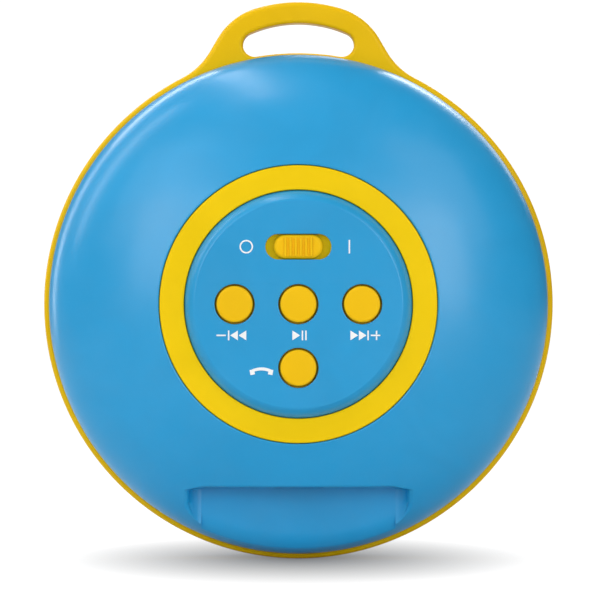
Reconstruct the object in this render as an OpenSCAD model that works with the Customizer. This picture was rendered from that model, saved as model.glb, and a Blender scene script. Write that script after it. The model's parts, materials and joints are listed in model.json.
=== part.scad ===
// Round shower speaker with a hanging loop, a raised control panel on its back and a grille
// on its front. Each module is one piece of the real object, in millimetres.
// The speaker hangs upright: +X is to the right seen from the control side, +Z is up and the
// control side faces -Y. The origin is where a hook bears, at the top of the loop's opening.
// Pieces are drawn about the speaker's own axis, with x to the right, y up and z towards the
// control side, and hung() puts them in place. forward() draws a piece with z to the front.

/* [Body] */
// Outer radius of the rim band
band_r = 48; // [45:0.5:60]
// Width of the rim band along the speaker's axis
band_w = 6; // [5:0.5:9]
// Radial thickness of the rim band
band_t = 4; // [3:0.5:5]
// How far the band stands out past the two shells
band_step = 1; // [0.5:0.25:2]
// Wall thickness of the shells
wall = 2.2; // [1.6:0.2:3]
// Height of the rear dome's curve above the band
rear_h = 19; // [17:0.5:26]
// Squareness of the rear dome's curve, where 2 is an ellipse
rear_power = 2.2; // [2:0.1:3]
// Height of the front shell's curve below the band
front_h = 22; // [20:0.5:28]
// Squareness of the front shell's curve
front_power = 3; // [2.6:0.1:3.6]

/* [Hanging loop] */
// Height of the loop above the band
loop_rise = 9; // [8:0.5:14]
// Thickness of the strap at its top
strap_t = 4; // [3:0.25:5]
// Half width of the loop's opening
loop_half_w = 10.5; // [9:0.5:14]
// Corner radius of the loop's opening
loop_corner_r = 2.3; // [1.5:0.1:2.6]
// Depth that the opening is cut into the band
loop_sink = 0.65; // [0.3:0.05:1.2]
// Radius of the strap's crown
crown_r = 28; // [24:1:40]
// Radius of the strap's shoulders
shoulder_r = 12.5; // [11:0.5:14]
// Lean of the loop's flanks from upright, in degrees
flank_lean = 30.5; // [20:0.5:38]
// Radius of the fillet where the loop meets the band
root_r = 13; // [8:0.5:18]
// Thickness of the loop along the speaker's axis
loop_t = 5.5; // [4:0.25:6]

/* [Trim ring and panel] */
// Outer radius of the yellow trim ring on the back
ring_r = 25.7; // [24:0.1:29]
// Inner radius of the trim ring
ring_hole_r = 21.15; // [20.5:0.05:22]
// Thickness of the trim ring
ring_t = 1.6; // [1.2:0.1:2.4]
// Height of the panel's face above the trim ring
panel_rise = 1.7; // [0.8:0.1:2.5]
// Thickness of the panel's face
panel_t = 1.6; // [1.2:0.1:2]
// Radius of the panel's rounded edge
panel_edge_r = 1.9; // [1:0.1:2.2]
// Thickness of the panel's side wall
panel_wall = 1.7; // [1.2:0.1:2]

/* [Buttons] */
// Radius of a button's cap
button_r = 3.35; // [2.8:0.05:4]
// Distance between neighbouring buttons
button_pitch = 11.75; // [11:0.25:13]
// Height of a cap above the panel
button_proud = 0.4; // [0.1:0.1:1]
// Travel of a button
button_travel = 0.5; // [0.3:0.1:0.6]
// Gap around a button's cap
button_gap = 0.35; // [0.2:0.05:0.6]

/* [Power switch] */
// Length of the switch's slot
slot_l = 12.2; // [11:0.1:14]
// Width of the switch's slot
slot_w = 4.7; // [4:0.1:5.5]
// Length of the sliding knob
knob_l = 9.2; // [8:0.1:10]
// Distance of the slot above the middle button
slot_y = 10.6; // [10:0.1:11.5]
// Number of ribs on the knob
knob_ribs = 6; // [4:1:8]

/* [Port bay] */
// Distance from the band's edge up to the bay's ceiling
bay_reach = 13.7; // [12:0.1:15]
// Half width of the bay at its floor
bay_half_w = 17.8; // [15:0.1:19]
// How much wider each side gets for each millimetre of height
bay_flare = 0.48; // [0.2:0.02:0.6]
// Distance from the shell's edge at which the bay's floor runs out
bay_runout = 2; // [1.5:0.25:3]
// Width of the port cover
cover_w = 9; // [8.6:0.1:10]
// Height of the port cover across the bay's ceiling
cover_h = 3.7; // [3.4:0.1:4]

/* [Speaker driver] */
// Outer radius of the driver's flange
driver_r = 26; // [25:0.5:28]
// Outer radius of the magnet
magnet_r = 13.5; // [12:0.5:14.5]
// Thickness of the magnet
magnet_t = 4.6; // [4:0.2:6]
// Outer radius of the voice coil's former
coil_r = 6.05; // [5.5:0.05:6.5]
// Travel of the cone each way
cone_travel = 1; // [0.5:0.1:1]

/* [Grille] */
// Outer radius of the front trim ring
bezel_r = 38.3; // [37.5:0.1:39]
// Inner radius of the front trim ring
bezel_hole_r = 33; // [32.5:0.1:33.2]
// Thickness of the grille
grille_t = 1; // [0.8:0.1:1.4]
// Radius of a grille hole
grille_hole_r = 1.15; // [0.8:0.05:1.3]
// Spacing of the grille's rows of holes
grille_pitch = 3.8; // [3.4:0.1:5]

/* [Inside] */
// Radius of the main circuit board
board_r = 19.6; // [19.4:0.1:20.4]
// Thickness of the circuit boards
board_t = 1.2; // [0.8:0.1:1.6]
// Length of the battery
battery_l = 34; // [28:1:35]
// Width of the battery
battery_w = 17; // [14:0.5:17.5]
// Thickness of the battery
battery_t = 8.8; // [6:0.2:9]

/* [Hidden] */
$fn = 96;

BLUE = [0.19, 0.63, 0.85];
YELLOW = [0.96, 0.76, 0.08];
WHITE = [0.96, 0.96, 0.96];
STEEL = [0.72, 0.73, 0.75];
RUBBER = [0.16, 0.17, 0.18];
BOARD = [0.05, 0.35, 0.18];
CHIP = [0.10, 0.10, 0.11];
COPPER = [0.78, 0.45, 0.20];
RED = [0.78, 0.12, 0.10];

// Clearances
seat_fit = 0.1;      // radial gap where one moulding drops into another
screw_fit = 0.02;    // radial gap between a screw and its pilot hole
slide_fit = 0.08;    // gap where a moving piece rubs on a fixed one
plunger_fit = 0.05;  // radial gap of a switch plunger in its bore
face_gap = 0.05;     // gap between faces that only lie together

half_w = band_w / 2;
shell_r = band_r - band_step;
band_hole_r = band_r - band_t;
spigot_r = band_hole_r - seat_fit;
spigot_t = 1.8;
spigot_end = 0.45;
bridge_t = 2;
curve_steps = 22;

// The stack of rings around the control panel, from the dome's crown downwards
recess_r = ring_r + seat_fit;
ring_top = half_w + dome_height(recess_r, shell_r, rear_h, rear_power) - seat_fit;
ring_bottom = ring_top - ring_t;
flange_t = 1;
flange_bottom = ring_bottom - flange_t;
flange_r = ring_r - 0.3;
panel_seal_t = 0.5;
ledge_top = flange_bottom - panel_seal_t;
ledge_t = 1.5;
ledge_bottom = ledge_top - ledge_t;
ledge_hole_r = ring_hole_r + 0.35;
ledge_foot_r = recess_r + wall;
panel_r = ring_hole_r - seat_fit;
panel_top = ring_top + panel_rise;
panel_under = panel_top - panel_t;

// The keys, from the panel downwards
key_flange_r = button_r + 0.95;
key_flange_t = 0.6;
key_flange_top = panel_under - 0.3;
key_stem_r = 1.5;
web_t = 0.6;
web_top = panel_under - 1.7;
web_bottom = web_top - web_t;
bead_r = panel_r - panel_wall - seat_fit;
bead_t = 1.2;
board_top = web_bottom - 3.1;
board_bottom = board_top - board_t;
key_switch_w = 4.2;
key_switch_h = 2;
plunger_r = 1;
plunger_l = 2.35;
key_places = [[-button_pitch, 0], [0, 0], [button_pitch, 0], [0, -button_pitch]];

// Fasteners: shank radius, head radius, head height
small_screw = [0.78, 1.5, 0.9];
driver_screw = [0.98, 1.8, 1.3];
shell_screw = [1.25, 2.2, 1.7];
ring_screw_r = (ring_hole_r + ring_r) / 2 + 0.2;
ring_boss_r = 1.4;
board_screw_d = 11.2;
board_boss_r = 1.9;
shell_screw_ring = (bezel_r + bezel_hole_r) / 2;
shell_boss_r = 3;
corner_angles = [45, 135, 225, 315];

// The power switch
bed_t = 0.6;
bed_margin = 1.5;
knob_w = slot_w - 2 * slide_fit;
slide_range = (slot_l - knob_l) / 2 - 0.05;
stem_l = 2.6;
stem_w = 2;
post_w = 1.4;
post_fit = 0.05;
slide_body = [8.6, 3.8, 2.6];
rib_pitch = 0.96;
rib_w = 0.5;
rib_h = 0.35;

// The port bay
bay_y = -(band_r - bay_reach);
bay_floor = half_w + dome_height(shell_r - bay_runout, shell_r, rear_h, rear_power);
cover_t = 1;
cover_low = bay_floor + 1;
pocket_depth = cover_t + 0.15;
cover_bead_r = 0.3;
cover_bead_y = bay_y + 0.4;
usb_size = [7.5, 5.6, 2.6];
usb_z = cover_low + 1.9;
port_board_l = 10;
port_board_w = 16;
port_board_top = usb_z - usb_size[2] / 2;
port_screw_x = 6;
port_screw_y = bay_y + port_board_l - 0.7;
port_boss_r = 1.7;

// The hanging loop
loop_top = band_r + loop_rise;
hang_h = loop_top - strap_t;
loop_seat_r = band_r - loop_sink;
corner_x = loop_half_w - loop_corner_r;
corner_y = sqrt(pow(loop_seat_r + loop_corner_r, 2) - pow(corner_x, 2));
lintel_drop = corner_y - hang_h;
lintel_r = (pow(loop_corner_r, 2) - pow(corner_x, 2) - pow(lintel_drop, 2))
    / (2 * (loop_corner_r + lintel_drop));
shoulder_x = loop_half_w - 6.05;
shoulder_y = loop_top - crown_r + sqrt(pow(crown_r - shoulder_r, 2) - pow(shoulder_x, 2));

// The front, measured forwards from the band's middle
bezel_t = 1.6;
bezel_recess_r = bezel_r + seat_fit;
bezel_face = half_w + dome_height(bezel_recess_r, shell_r, front_h, front_power) + 0.3;
bezel_floor = bezel_face - bezel_t;
grille_ledge_r = bezel_hole_r - 2;
baffle_front = bezel_floor - 1.6;
baffle_t = 2;
baffle_back = baffle_front - baffle_t;
baffle_hole_r = driver_r - 2.3;

// The driver, measured forwards
gasket_t = 0.8;
basket_front = baffle_back - gasket_t;
basket_flange_t = 1.2;
basket_depth = 9.2;
basket_back = basket_front - basket_depth;
spider_seat = basket_back + 3;
lug_ring = driver_r + 2;
lug_r = 2.6;
top_plate_t = 2;
magnet_front = basket_back - top_plate_t;
magnet_back = magnet_front - magnet_t;
yoke_t = 1.8;
gap_r = coil_r + 0.6;
pole_r = coil_r - 0.7;
cone_r = driver_r - 7.6;
roll_r = 1.7;
roll_mid = cone_r + 0.2 + roll_r;

// The battery, measured forwards from the band's middle
tray_wall = 1.2;
tray_floor_front = 6.6;
tray_y = magnet_r + 3.5 + battery_w / 2 + tray_wall + 0.3;
battery_pad_t = 0.6;
battery_front = tray_floor_front - tray_wall - battery_pad_t;
tray_post_x = 12;
tray_post_r = 2.2;
tray_post_y = max(tray_y + 1, sqrt(pow(driver_r + 5.4, 2) - pow(tray_post_x, 2)));

lead_r = 0.5;

function dome_height(r, radius, height, power) =
    height * pow(1 - pow(r / radius, power), 1 / power);

// Points of a dome's curve from its rim in to r_end
function dome_curve(radius, height, power, r_end) =
    let (last = acos(pow(r_end / radius, power / 2)))
    [for (i = [0:curve_steps]) let (t = last * i / curve_steps)
        [radius * pow(cos(t), 2 / power), half_w + height * pow(sin(t), 2 / power)]];

function reversed(points) = [for (i = [len(points) - 1:-1:0]) points[i]];

function arc(centre, r, from, to, steps) =
    [for (i = [0:steps]) let (a = from + (to - from) * i / steps)
        centre + r * [cos(a), sin(a)]];

function mirrored(points) = [for (p = reversed(points)) [-p[0], p[1]]];

function bezier(p0, p1, p2, p3, t) =
    p0 * pow(1 - t, 3) + 3 * p1 * t * pow(1 - t, 2) + 3 * p2 * t * t * (1 - t) + p3 * pow(t, 3);

function unit(v) = v / norm(v);

// Puts a piece drawn about the speaker's axis where it hangs
module hung() {
    translate([0, 0, -hang_h]) rotate([90, 0, 0]) children();
}

// Puts in place a piece that is drawn with z towards the front
module forward() {
    hung() mirror([0, 0, 1]) children();
}

module ring(outer, inner, height) {
    difference() {
        cylinder(r = outer, h = height);
        translate([0, 0, -1]) cylinder(r = inner, h = height + 2);
    }
}

module stadium(length, width, height) {
    linear_extrude(height) {
        square([length - width, width], center = true);
        for (side = [-1, 1]) translate([side * (length - width) / 2, 0]) circle(d = width);
    }
}

// A screw with its head's seat at z = 0 and its shank running up
module screw(size, length) {
    cylinder(r = size[0], h = length, $fn = 32);
    translate([0, 0, -size[2]]) difference() {
        cylinder(r = size[1], h = size[2], $fn = 32);
        translate([0, 0, -0.01]) cylinder(r = size[1] * 0.45, h = size[2] * 0.5, $fn = 6);
    }
}

module at_corners(r) {
    for (a = corner_angles) rotate(a) translate([r, 0, 0]) rotate(-a) children();
}

module at_board_screws() {
    for (x = [-1, 1], y = [-1, 1]) translate([x, y, 0] * board_screw_d) children();
}

module at_keys() {
    for (place = key_places) translate([place[0], place[1], 0]) children();
}

// The volume under the rear dome, drawn in from its surface by inset
module under_dome(inset) {
    rotate_extrude() polygon(concat(
        [[0, half_w - 3]], [[shell_r - inset, half_w - 3]],
        dome_curve(shell_r - inset, rear_h - inset, rear_power, 8),
        [[0, half_w + rear_h - inset - 0.3]]));
}

// The bay's hollow, grown outwards by skin
module bay_hollow(skin) {
    low = bay_floor - skin;
    half = bay_half_w + skin;
    top = panel_top;
    translate([0, bay_y + skin, 0]) rotate([90, 0, 0]) linear_extrude(band_r) polygon([
        [-half, low], [half, low],
        [half + bay_flare * (top - low), top], [-half - bay_flare * (top - low), top]]);
}

module at_port_screws(z) {
    for (side = [-1, 1]) translate([side * port_screw_x, port_screw_y, z]) children();
}

// The recess for the port cover in the bay's ceiling, and the hole to the socket behind it
module port_pocket() {
    pocket_w = cover_w + 0.2;
    pocket_top = cover_low + cover_h + 0.25;
    pocket_low = bay_floor + 0.3;
    translate([-pocket_w / 2, bay_y - 1, pocket_low])
        cube([pocket_w, pocket_depth + 1, pocket_top - pocket_low]);
    translate([-(usb_size[0] + 0.3) / 2, bay_y, usb_z - usb_size[2] / 2 - 0.15])
        cube([usb_size[0] + 0.3, wall + 1, usb_size[2] + 0.3]);
}

module rear_shell() {
    inner = dome_curve(shell_r - wall, rear_h - wall, rear_power, ledge_foot_r);
    bridge_top = half_w + bridge_t;
    profile = concat(
        dome_curve(shell_r, rear_h, rear_power, recess_r),
        [[recess_r, ledge_top], [ledge_hole_r, ledge_top],
            [ledge_hole_r, ledge_bottom], [ledge_foot_r, ledge_bottom]],
        [for (p = reversed(inner)) if (p[1] > bridge_top) p],
        [[spigot_r - spigot_t, bridge_top], [spigot_r - spigot_t, spigot_end],
            [spigot_r, spigot_end], [spigot_r, half_w]]);
    color(BLUE) hung() difference() {
        union() {
            rotate_extrude() polygon(profile);
            difference() {
                intersection() {
                    under_dome(wall / 2);
                    union() {
                        bay_hollow(wall);
                        at_corners(shell_screw_ring) translate([0, 0, seat_fit])
                            cylinder(r = shell_boss_r, h = rear_h);
                        at_port_screws(port_board_top) cylinder(r = port_boss_r, h = rear_h);
                    }
                }
                translate([0, 0, ledge_bottom + 0.5]) cylinder(r = recess_r + 0.4, h = rear_h);
            }
        }
        bay_hollow(0);
        port_pocket();
        at_corners(ring_screw_r) translate([0, 0, ledge_bottom - 1])
            cylinder(r = small_screw[0] + seat_fit, h = ledge_t + 2, $fn = 32);
        at_corners(shell_screw_ring) translate([0, 0, seat_fit - 1])
            cylinder(r = shell_screw[0] + screw_fit, h = 9.5, $fn = 32);
        at_port_screws(port_board_top - 1)
            cylinder(r = small_screw[0] + screw_fit, h = 3.6, $fn = 32);
    }
}

// Outline of the loop's right side, from the crown down to where it meets the band
function loop_flank() =
    let (
        shoulder = [shoulder_x, shoulder_y],
        normal = [cos(flank_lean), sin(flank_lean)],
        along = [sin(flank_lean), -cos(flank_lean)],
        reach = shoulder * normal + shoulder_r + root_r,
        root = normal * reach
            - along * sqrt(pow(band_r + root_r - 0.1, 2) - pow(reach, 2)),
        crown_end = atan2(shoulder_y - loop_top + crown_r, shoulder_x),
        root_end = atan2(root[1], root[0])
    )
    concat(
        arc([0, loop_top - crown_r], crown_r, 90, crown_end, 8),
        arc(shoulder, shoulder_r, crown_end - 4, flank_lean, 10),
        arc(root, root_r, 180 + flank_lean, 180 + root_end, 8));

module loop_opening() {
    corner = [corner_x, corner_y];
    seat_end = atan2(corner_y, corner_x);
    lintel_end = atan2(corner_y - hang_h + lintel_r, corner_x);
    right = concat(
        arc([0, hang_h - lintel_r], lintel_r, 90, lintel_end, 10),
        arc(corner, loop_corner_r, lintel_end - 12, seat_end - 180 + 12, 10),
        arc([0, 0], loop_seat_r, seat_end, 90, 8));
    translate([0, 0, -band_w]) linear_extrude(2 * band_w) polygon(concat(right, mirrored(right)));
}

module rim_band() {
    flank = loop_flank();
    color(YELLOW) hung() difference() {
        union() {
            translate([0, 0, -half_w]) cylinder(r = band_r, h = band_w, $fn = 180);
            translate([0, 0, -loop_t / 2]) linear_extrude(loop_t)
                polygon(concat(mirrored(flank), flank, arc([0, 0], band_r - 1.5, 55, 125, 12)));
        }
        translate([0, 0, -band_w]) cylinder(r = band_hole_r, h = 2 * band_w);
        loop_opening();
    }
}

module front_shell() {
    outer = dome_curve(shell_r, front_h, front_power, bezel_recess_r);
    inner = dome_curve(shell_r - wall, front_h - wall, front_power, bezel_recess_r - wall);
    bridge_top = half_w + bridge_t;
    profile = concat(
        outer,
        [[bezel_recess_r, bezel_floor], [grille_ledge_r, bezel_floor],
            [grille_ledge_r, baffle_front], [baffle_hole_r, baffle_front],
            [baffle_hole_r, baffle_back]],
        [[bezel_recess_r - wall, baffle_back]],
        [for (p = reversed(inner)) if (p[1] > bridge_top && p[1] < baffle_back - 0.2) p],
        [[spigot_r - spigot_t, bridge_top], [spigot_r - spigot_t, spigot_end],
            [spigot_r, spigot_end], [spigot_r, half_w]]);
    color(BLUE) forward() difference() {
        union() {
            rotate_extrude() polygon(profile);
            at_corners(shell_screw_ring) translate([0, 0, seat_fit])
                cylinder(r = shell_boss_r, h = baffle_back);
            at_corners(lug_ring) translate([0, 0, basket_front])
                cylinder(r = lug_r, h = gasket_t + 0.5);
            for (side = [-1, 1])
                translate([side * tray_post_x, tray_post_y, tray_floor_front])
                    cylinder(r = tray_post_r, h = baffle_back - tray_floor_front + 0.5);
        }
        at_corners(shell_screw_ring) {
            cylinder(r = shell_screw[0] + 0.25, h = 4 * baffle_back, center = true, $fn = 32);
            translate([0, 0, bezel_floor - shell_screw[2] - 0.2])
                cylinder(r = shell_screw[1] + 0.2, h = 5, $fn = 48);
        }
        at_corners(lug_ring) translate([0, 0, basket_front - 1])
            cylinder(r = driver_screw[0] + screw_fit, h = gasket_t + 2.6, $fn = 32);
        for (side = [-1, 1])
            translate([side * tray_post_x, tray_post_y, tray_floor_front - 1])
                cylinder(r = small_screw[0] + screw_fit, h = 6.5, $fn = 32);
        for (a = [0:90:270]) rotate(a) translate([shell_screw_ring, 0, bezel_floor - 2.2])
            cylinder(r = 1 + plunger_fit, h = 5, $fn = 32);
    }
}

module main_seal() {
    color(RUBBER) hung() translate([0, 0, -spigot_end])
        ring(spigot_r - 0.1, spigot_r - spigot_t + 0.1, 2 * spigot_end);
}

module control_panel() {
    corner = [panel_r - panel_edge_r, panel_top - panel_edge_r];
    profile = concat(
        [[0, panel_top]],
        arc(corner, panel_edge_r, 90, 0, 9),
        [[panel_r, ring_bottom], [flange_r, ring_bottom], [flange_r, flange_bottom],
            [panel_r - panel_wall, flange_bottom], [panel_r - panel_wall, panel_under],
            [0, panel_under]]);
    color(BLUE) hung() difference() {
        union() {
            rotate_extrude() polygon(profile);
            at_board_screws() translate([0, 0, board_top])
                cylinder(r = board_boss_r, h = panel_under - board_top + 0.5, $fn = 48);
        }
        at_keys() translate([0, 0, panel_under - 1])
            cylinder(r = button_r + button_gap, h = panel_t + 2);
        translate([0, slot_y, panel_under - 1]) stadium(slot_l, slot_w, panel_t + 2);
        at_board_screws() translate([0, 0, board_top - 1])
            cylinder(r = small_screw[0] + screw_fit, h = 4.8, $fn = 32);
        at_corners(ring_screw_r) translate([0, 0, flange_bottom - 1])
            cylinder(r = ring_boss_r + seat_fit, h = flange_t + 1.2, $fn = 32);
    }
}

module panel_seal() {
    color(RUBBER) hung() translate([0, 0, ledge_top]) difference() {
        ring(flange_r, ledge_hole_r + 0.1, panel_seal_t);
        at_corners(ring_screw_r) translate([0, 0, -1])
            cylinder(r = ring_boss_r + seat_fit, h = 3, $fn = 32);
    }
}

module trim_ring() {
    boss_end = ledge_top + 0.1;
    color(YELLOW) hung() difference() {
        union() {
            translate([0, 0, ring_bottom]) ring(ring_r, ring_hole_r, ring_t);
            at_corners(ring_screw_r) translate([0, 0, boss_end])
                cylinder(r = ring_boss_r, h = ring_bottom - boss_end + 0.3, $fn = 32);
        }
        at_corners(ring_screw_r) translate([0, 0, boss_end - 1])
            cylinder(r = small_screw[0] + screw_fit, h = 3.5, $fn = 32);
    }
}

module trim_ring_screws() {
    color(STEEL) hung() at_corners(ring_screw_r) translate([0, 0, ledge_bottom])
        screw(small_screw, 3.6);
}

legend_h = 1.8;       // height of the symbols under the buttons
legend_t = 0.08;      // thickness of the white ink
stroke = 0.27;        // width of a symbol's bar

module triangle(x, direction) {
    polygon([[x, -legend_h / 2], [x, legend_h / 2], [x + direction * legend_h * 0.78, 0]]);
}

module bar(x) {
    translate([x - stroke / 2, -legend_h / 2]) square([stroke, legend_h]);
}

module skip_symbol() {
    triangle(-2.8, 1);
    triangle(-1.25, 1);
    bar(0.45);
    translate([0.95, -stroke / 2]) square([1.75, stroke]);
}

module handset_symbol() {
    sweep_angle = 27;
    outer = 4.2;
    ear = [0.85, 0.95];
    intersection() {
        difference() {
            circle(outer);
            circle(outer - 0.55);
        }
        polygon([[0, 0], 2 * outer * [-sin(sweep_angle), cos(sweep_angle)],
            2 * outer * [sin(sweep_angle), cos(sweep_angle)]]);
    }
    for (side = [-1, 1]) rotate(-side * sweep_angle) translate([0, outer - ear[1] / 2])
        rotate(side * sweep_angle * 0.6) square(ear, center = true);
}

module printed_legends() {
    label_y = -5.75;
    color(WHITE) hung() translate([0, 0, panel_top]) linear_extrude(legend_t) {
        translate([button_pitch, label_y]) translate([0.65, 0]) skip_symbol();
        translate([button_pitch, label_y]) translate([2.52, -0.87]) square([stroke, 0.69]);
        translate([button_pitch, label_y]) translate([2.52, 0.18]) square([stroke, 0.69]);
        mirror([1, 0]) translate([button_pitch + 0.65, label_y]) skip_symbol();
        translate([0, label_y]) {
            triangle(-1.1, 1);
            bar(0.75);
            bar(1.4);
        }
        translate([-6.8, -button_pitch - 4.1]) handset_symbol();
        translate([-9.6, slot_y]) difference() {
            circle(d = 2.5);
            circle(d = 2.5 - 2 * stroke);
        }
        translate([9.4, slot_y]) square([stroke, 2.5], center = true);
    }
}

// A button's cap with the flange that keeps it in the panel and the stem that presses
module button(place) {
    cap_r = button_r;
    cap_top = panel_top + button_proud;
    edge = 0.45;
    profile = concat(
        [[0, cap_top]],
        arc([cap_r - edge, cap_top - edge], edge, 90, 0, 5),
        [[cap_r, key_flange_top], [key_flange_r, key_flange_top],
            [key_flange_r, key_flange_top - key_flange_t],
            [key_stem_r, key_flange_top - key_flange_t],
            [key_stem_r, web_top + 0.25], [0, web_top + 0.25]]);
    color(YELLOW) hung() translate([place[0], place[1], 0]) rotate_extrude() polygon(profile);
}

module previous_button() { button(key_places[0]); }
module play_button() { button(key_places[1]); }
module next_button() { button(key_places[2]); }
module call_button() { button(key_places[3]); }

module plunger(place) {
    color(CHIP) hung() translate([place[0], place[1], web_bottom - face_gap - plunger_l])
        cylinder(r = plunger_r, h = plunger_l);
}

module previous_plunger() { plunger(key_places[0]); }
module play_plunger() { plunger(key_places[1]); }
module next_plunger() { plunger(key_places[2]); }
module call_plunger() { plunger(key_places[3]); }

// The sheet that seals the keys, with a bead clamped between the panel and the board
module keypad_membrane() {
    color(RUBBER) hung() difference() {
        union() {
            translate([0, 0, board_top]) ring(bead_r, bead_r - bead_t, panel_under - board_top);
            translate([0, 0, web_bottom]) cylinder(r = bead_r - 0.2, h = web_t);
        }
        at_board_screws() translate([0, 0, web_bottom - 1])
            cylinder(r = board_boss_r + seat_fit, h = web_t + 2, $fn = 48);
        translate([0, slot_y, web_bottom - 1])
            stadium(stem_l + 2 * slide_range + 1.6, stem_w + 1.4, web_t + 2);
    }
}

module key_switches() {
    color(CHIP) hung() at_keys() translate([0, 0, board_top]) difference() {
        translate([-key_switch_w / 2, -key_switch_w / 2, 0])
            cube([key_switch_w, key_switch_w, key_switch_h]);
        translate([0, 0, 0.1]) cylinder(r = plunger_r + plunger_fit, h = key_switch_h);
    }
}

module switch_bed() {
    color(YELLOW) hung() translate([0, slot_y, panel_under - bed_t]) difference() {
        stadium(slot_l + 2 * bed_margin, slot_w + 2 * bed_margin, bed_t);
        cube([stem_l + 2 * slide_range + 0.4, stem_w + 0.4, 3 * bed_t], center = true);
    }
}

module switch_knob() {
    base = panel_under + slide_fit;
    top = panel_top;
    stem_end = web_bottom - 0.1;
    post_top = web_top + 0.7;
    color(YELLOW) hung() translate([0, slot_y, 0]) difference() {
        union() {
            translate([0, 0, base]) stadium(knob_l, knob_w, top - base);
            for (i = [0:knob_ribs - 1])
                translate([(i - (knob_ribs - 1) / 2) * rib_pitch, 0, top + rib_h / 2 - 0.1])
                    cube([rib_w, knob_w - 0.9, rib_h + 0.2], center = true);
            translate([-stem_l / 2, -stem_w / 2, stem_end])
                cube([stem_l, stem_w, base - stem_end + 0.2]);
        }
        translate([0, 0, (stem_end + post_top) / 2 - 0.5])
            cube([post_w + 2 * post_fit, post_w + 2 * post_fit, post_top - stem_end + 1],
                center = true);
    }
}

module switch_actuator() {
    low = board_top + 0.9;
    color(CHIP) hung() translate([-post_w / 2, slot_y - post_w / 2, low])
        cube([post_w, post_w, web_top + 0.6 - low]);
}

module slide_switch() {
    color(STEEL) hung() translate([0, slot_y, board_top]) difference() {
        translate([-slide_body[0] / 2, -slide_body[1] / 2, 0]) cube(slide_body);
        translate([-(post_w / 2 + slide_range + 0.15), -post_w / 2 - 0.1, 0.8])
            cube([post_w + 2 * slide_range + 0.3, post_w + 0.2, slide_body[2]]);
    }
}

module main_board() {
    color(BOARD) hung() translate([0, 0, board_bottom]) difference() {
        cylinder(r = board_r, h = board_t);
        at_board_screws() translate([0, 0, -1])
            cylinder(r = small_screw[0] + seat_fit, h = board_t + 2, $fn = 32);
    }
}

module board_screws() {
    color(STEEL) hung() at_board_screws() translate([0, 0, board_bottom])
        screw(small_screw, board_t + 3.4);
}

// A block that hangs under the main board, centred on a place
module under_board(place, size) {
    translate([place[0] - size[0] / 2, place[1] - size[1] / 2, board_bottom - size[2]])
        cube(size);
}

module radio_module() {
    color(STEEL) hung() under_board([-6.5, 3], [9, 11, 1.8]);
}

module amplifier_chip() {
    color(CHIP) hung() under_board([5, 3.5], [5, 5, 1]);
}

module capacitors() {
    color(CHIP) hung() for (place = [[11.5, 2.5], [11.5, -3], [6, -6]])
        translate([place[0], place[1], board_bottom - 5.4]) cylinder(r = 2, h = 5.4, $fn = 48);
}

module microphone() {
    color(STEEL) hung() translate([-13, -4, board_bottom - 2.2])
        cylinder(r = 2.2, h = 2.2, $fn = 48);
}

battery_plug = [0, 15.5];
driver_plug = [-5, -10.5];
port_plug = [3, -15.6];
plug_size = [6, 4, 3.6];

module board_connectors() {
    color(WHITE) hung() for (place = [battery_plug, driver_plug, port_plug])
        under_board(place, plug_size);
}

module port_board() {
    color(BOARD) hung() difference() {
        translate([-port_board_w / 2, bay_y + wall + 0.1, port_board_top - board_t])
            cube([port_board_w, port_board_l - wall + 1, board_t]);
        at_port_screws(port_board_top - board_t - 1)
            cylinder(r = small_screw[0] + seat_fit, h = board_t + 2, $fn = 32);
    }
}

module port_board_screws() {
    color(STEEL) hung() at_port_screws(port_board_top - board_t)
        screw(small_screw, board_t + 2);
}

module usb_socket() {
    mouth = [usb_size[0] - 0.7, usb_size[1] - 0.7, usb_size[2] - 0.7];
    front = bay_y + wall - 0.3;
    color(STEEL) hung() translate([0, front, usb_z]) {
        difference() {
            translate([-usb_size[0] / 2, 0, -usb_size[2] / 2]) cube(usb_size);
            translate([-mouth[0] / 2, -0.7, -mouth[2] / 2])
                cube([mouth[0], mouth[1] + 0.7, mouth[2]]);
        }
        translate([-1.9, 0.6, -0.3]) cube([3.8, usb_size[1] - 0.8, 0.6]);
    }
}

// The soft flap that closes the port, with the plug that presses into the socket's mouth
module port_cover() {
    plug = [7, 0.6, 1.8];
    color(BLUE) hung() {
        translate([-cover_w / 2, bay_y + face_gap, cover_low + 0.05])
            cube([cover_w, cover_t, cover_h]);
        translate([-plug[0] / 2, bay_y + cover_t, usb_z - plug[2] / 2])
            cube([plug[0], plug[1], plug[2]]);
        translate([0, cover_bead_y, cover_low - cover_bead_r]) rotate([0, 90, 0])
            cylinder(r = cover_bead_r, h = cover_w - 1, center = true, $fn = 24);
        translate([0, cover_bead_y, cover_low - cover_bead_r / 2])
            cube([cover_w - 1, cover_bead_r, cover_bead_r + 0.2], center = true);
    }
}

// The edge of the port cover's moulding that stays in its recess
module port_cover_root() {
    gap = 0.1;
    low = bay_floor + 0.35;
    front = cover_bead_y + cover_bead_r + gap;
    color(BLUE) hung() translate([-cover_w / 3, front, low])
        cube([cover_w * 2 / 3, bay_y + cover_t + gap - front, cover_low - gap - low]);
}

module battery() {
    color(RED) forward() translate([0, tray_y, battery_front - battery_t])
        linear_extrude(battery_t) {
            edge = 1.5;
            square([battery_l - 2 * edge, battery_w], center = true);
            square([battery_l, battery_w - 2 * edge], center = true);
            for (x = [-1, 1], y = [-1, 1])
                translate([x * (battery_l / 2 - edge), y * (battery_w / 2 - edge)])
                    circle(edge, $fn = 32);
        }
}

module battery_pad() {
    pad = [2 * (tray_post_x - small_screw[1] - 1), battery_w * 0.7];
    color(RUBBER) forward() translate([-pad[0] / 2, tray_y - pad[1] / 2, battery_front])
        cube([pad[0], pad[1], battery_pad_t]);
}

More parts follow.
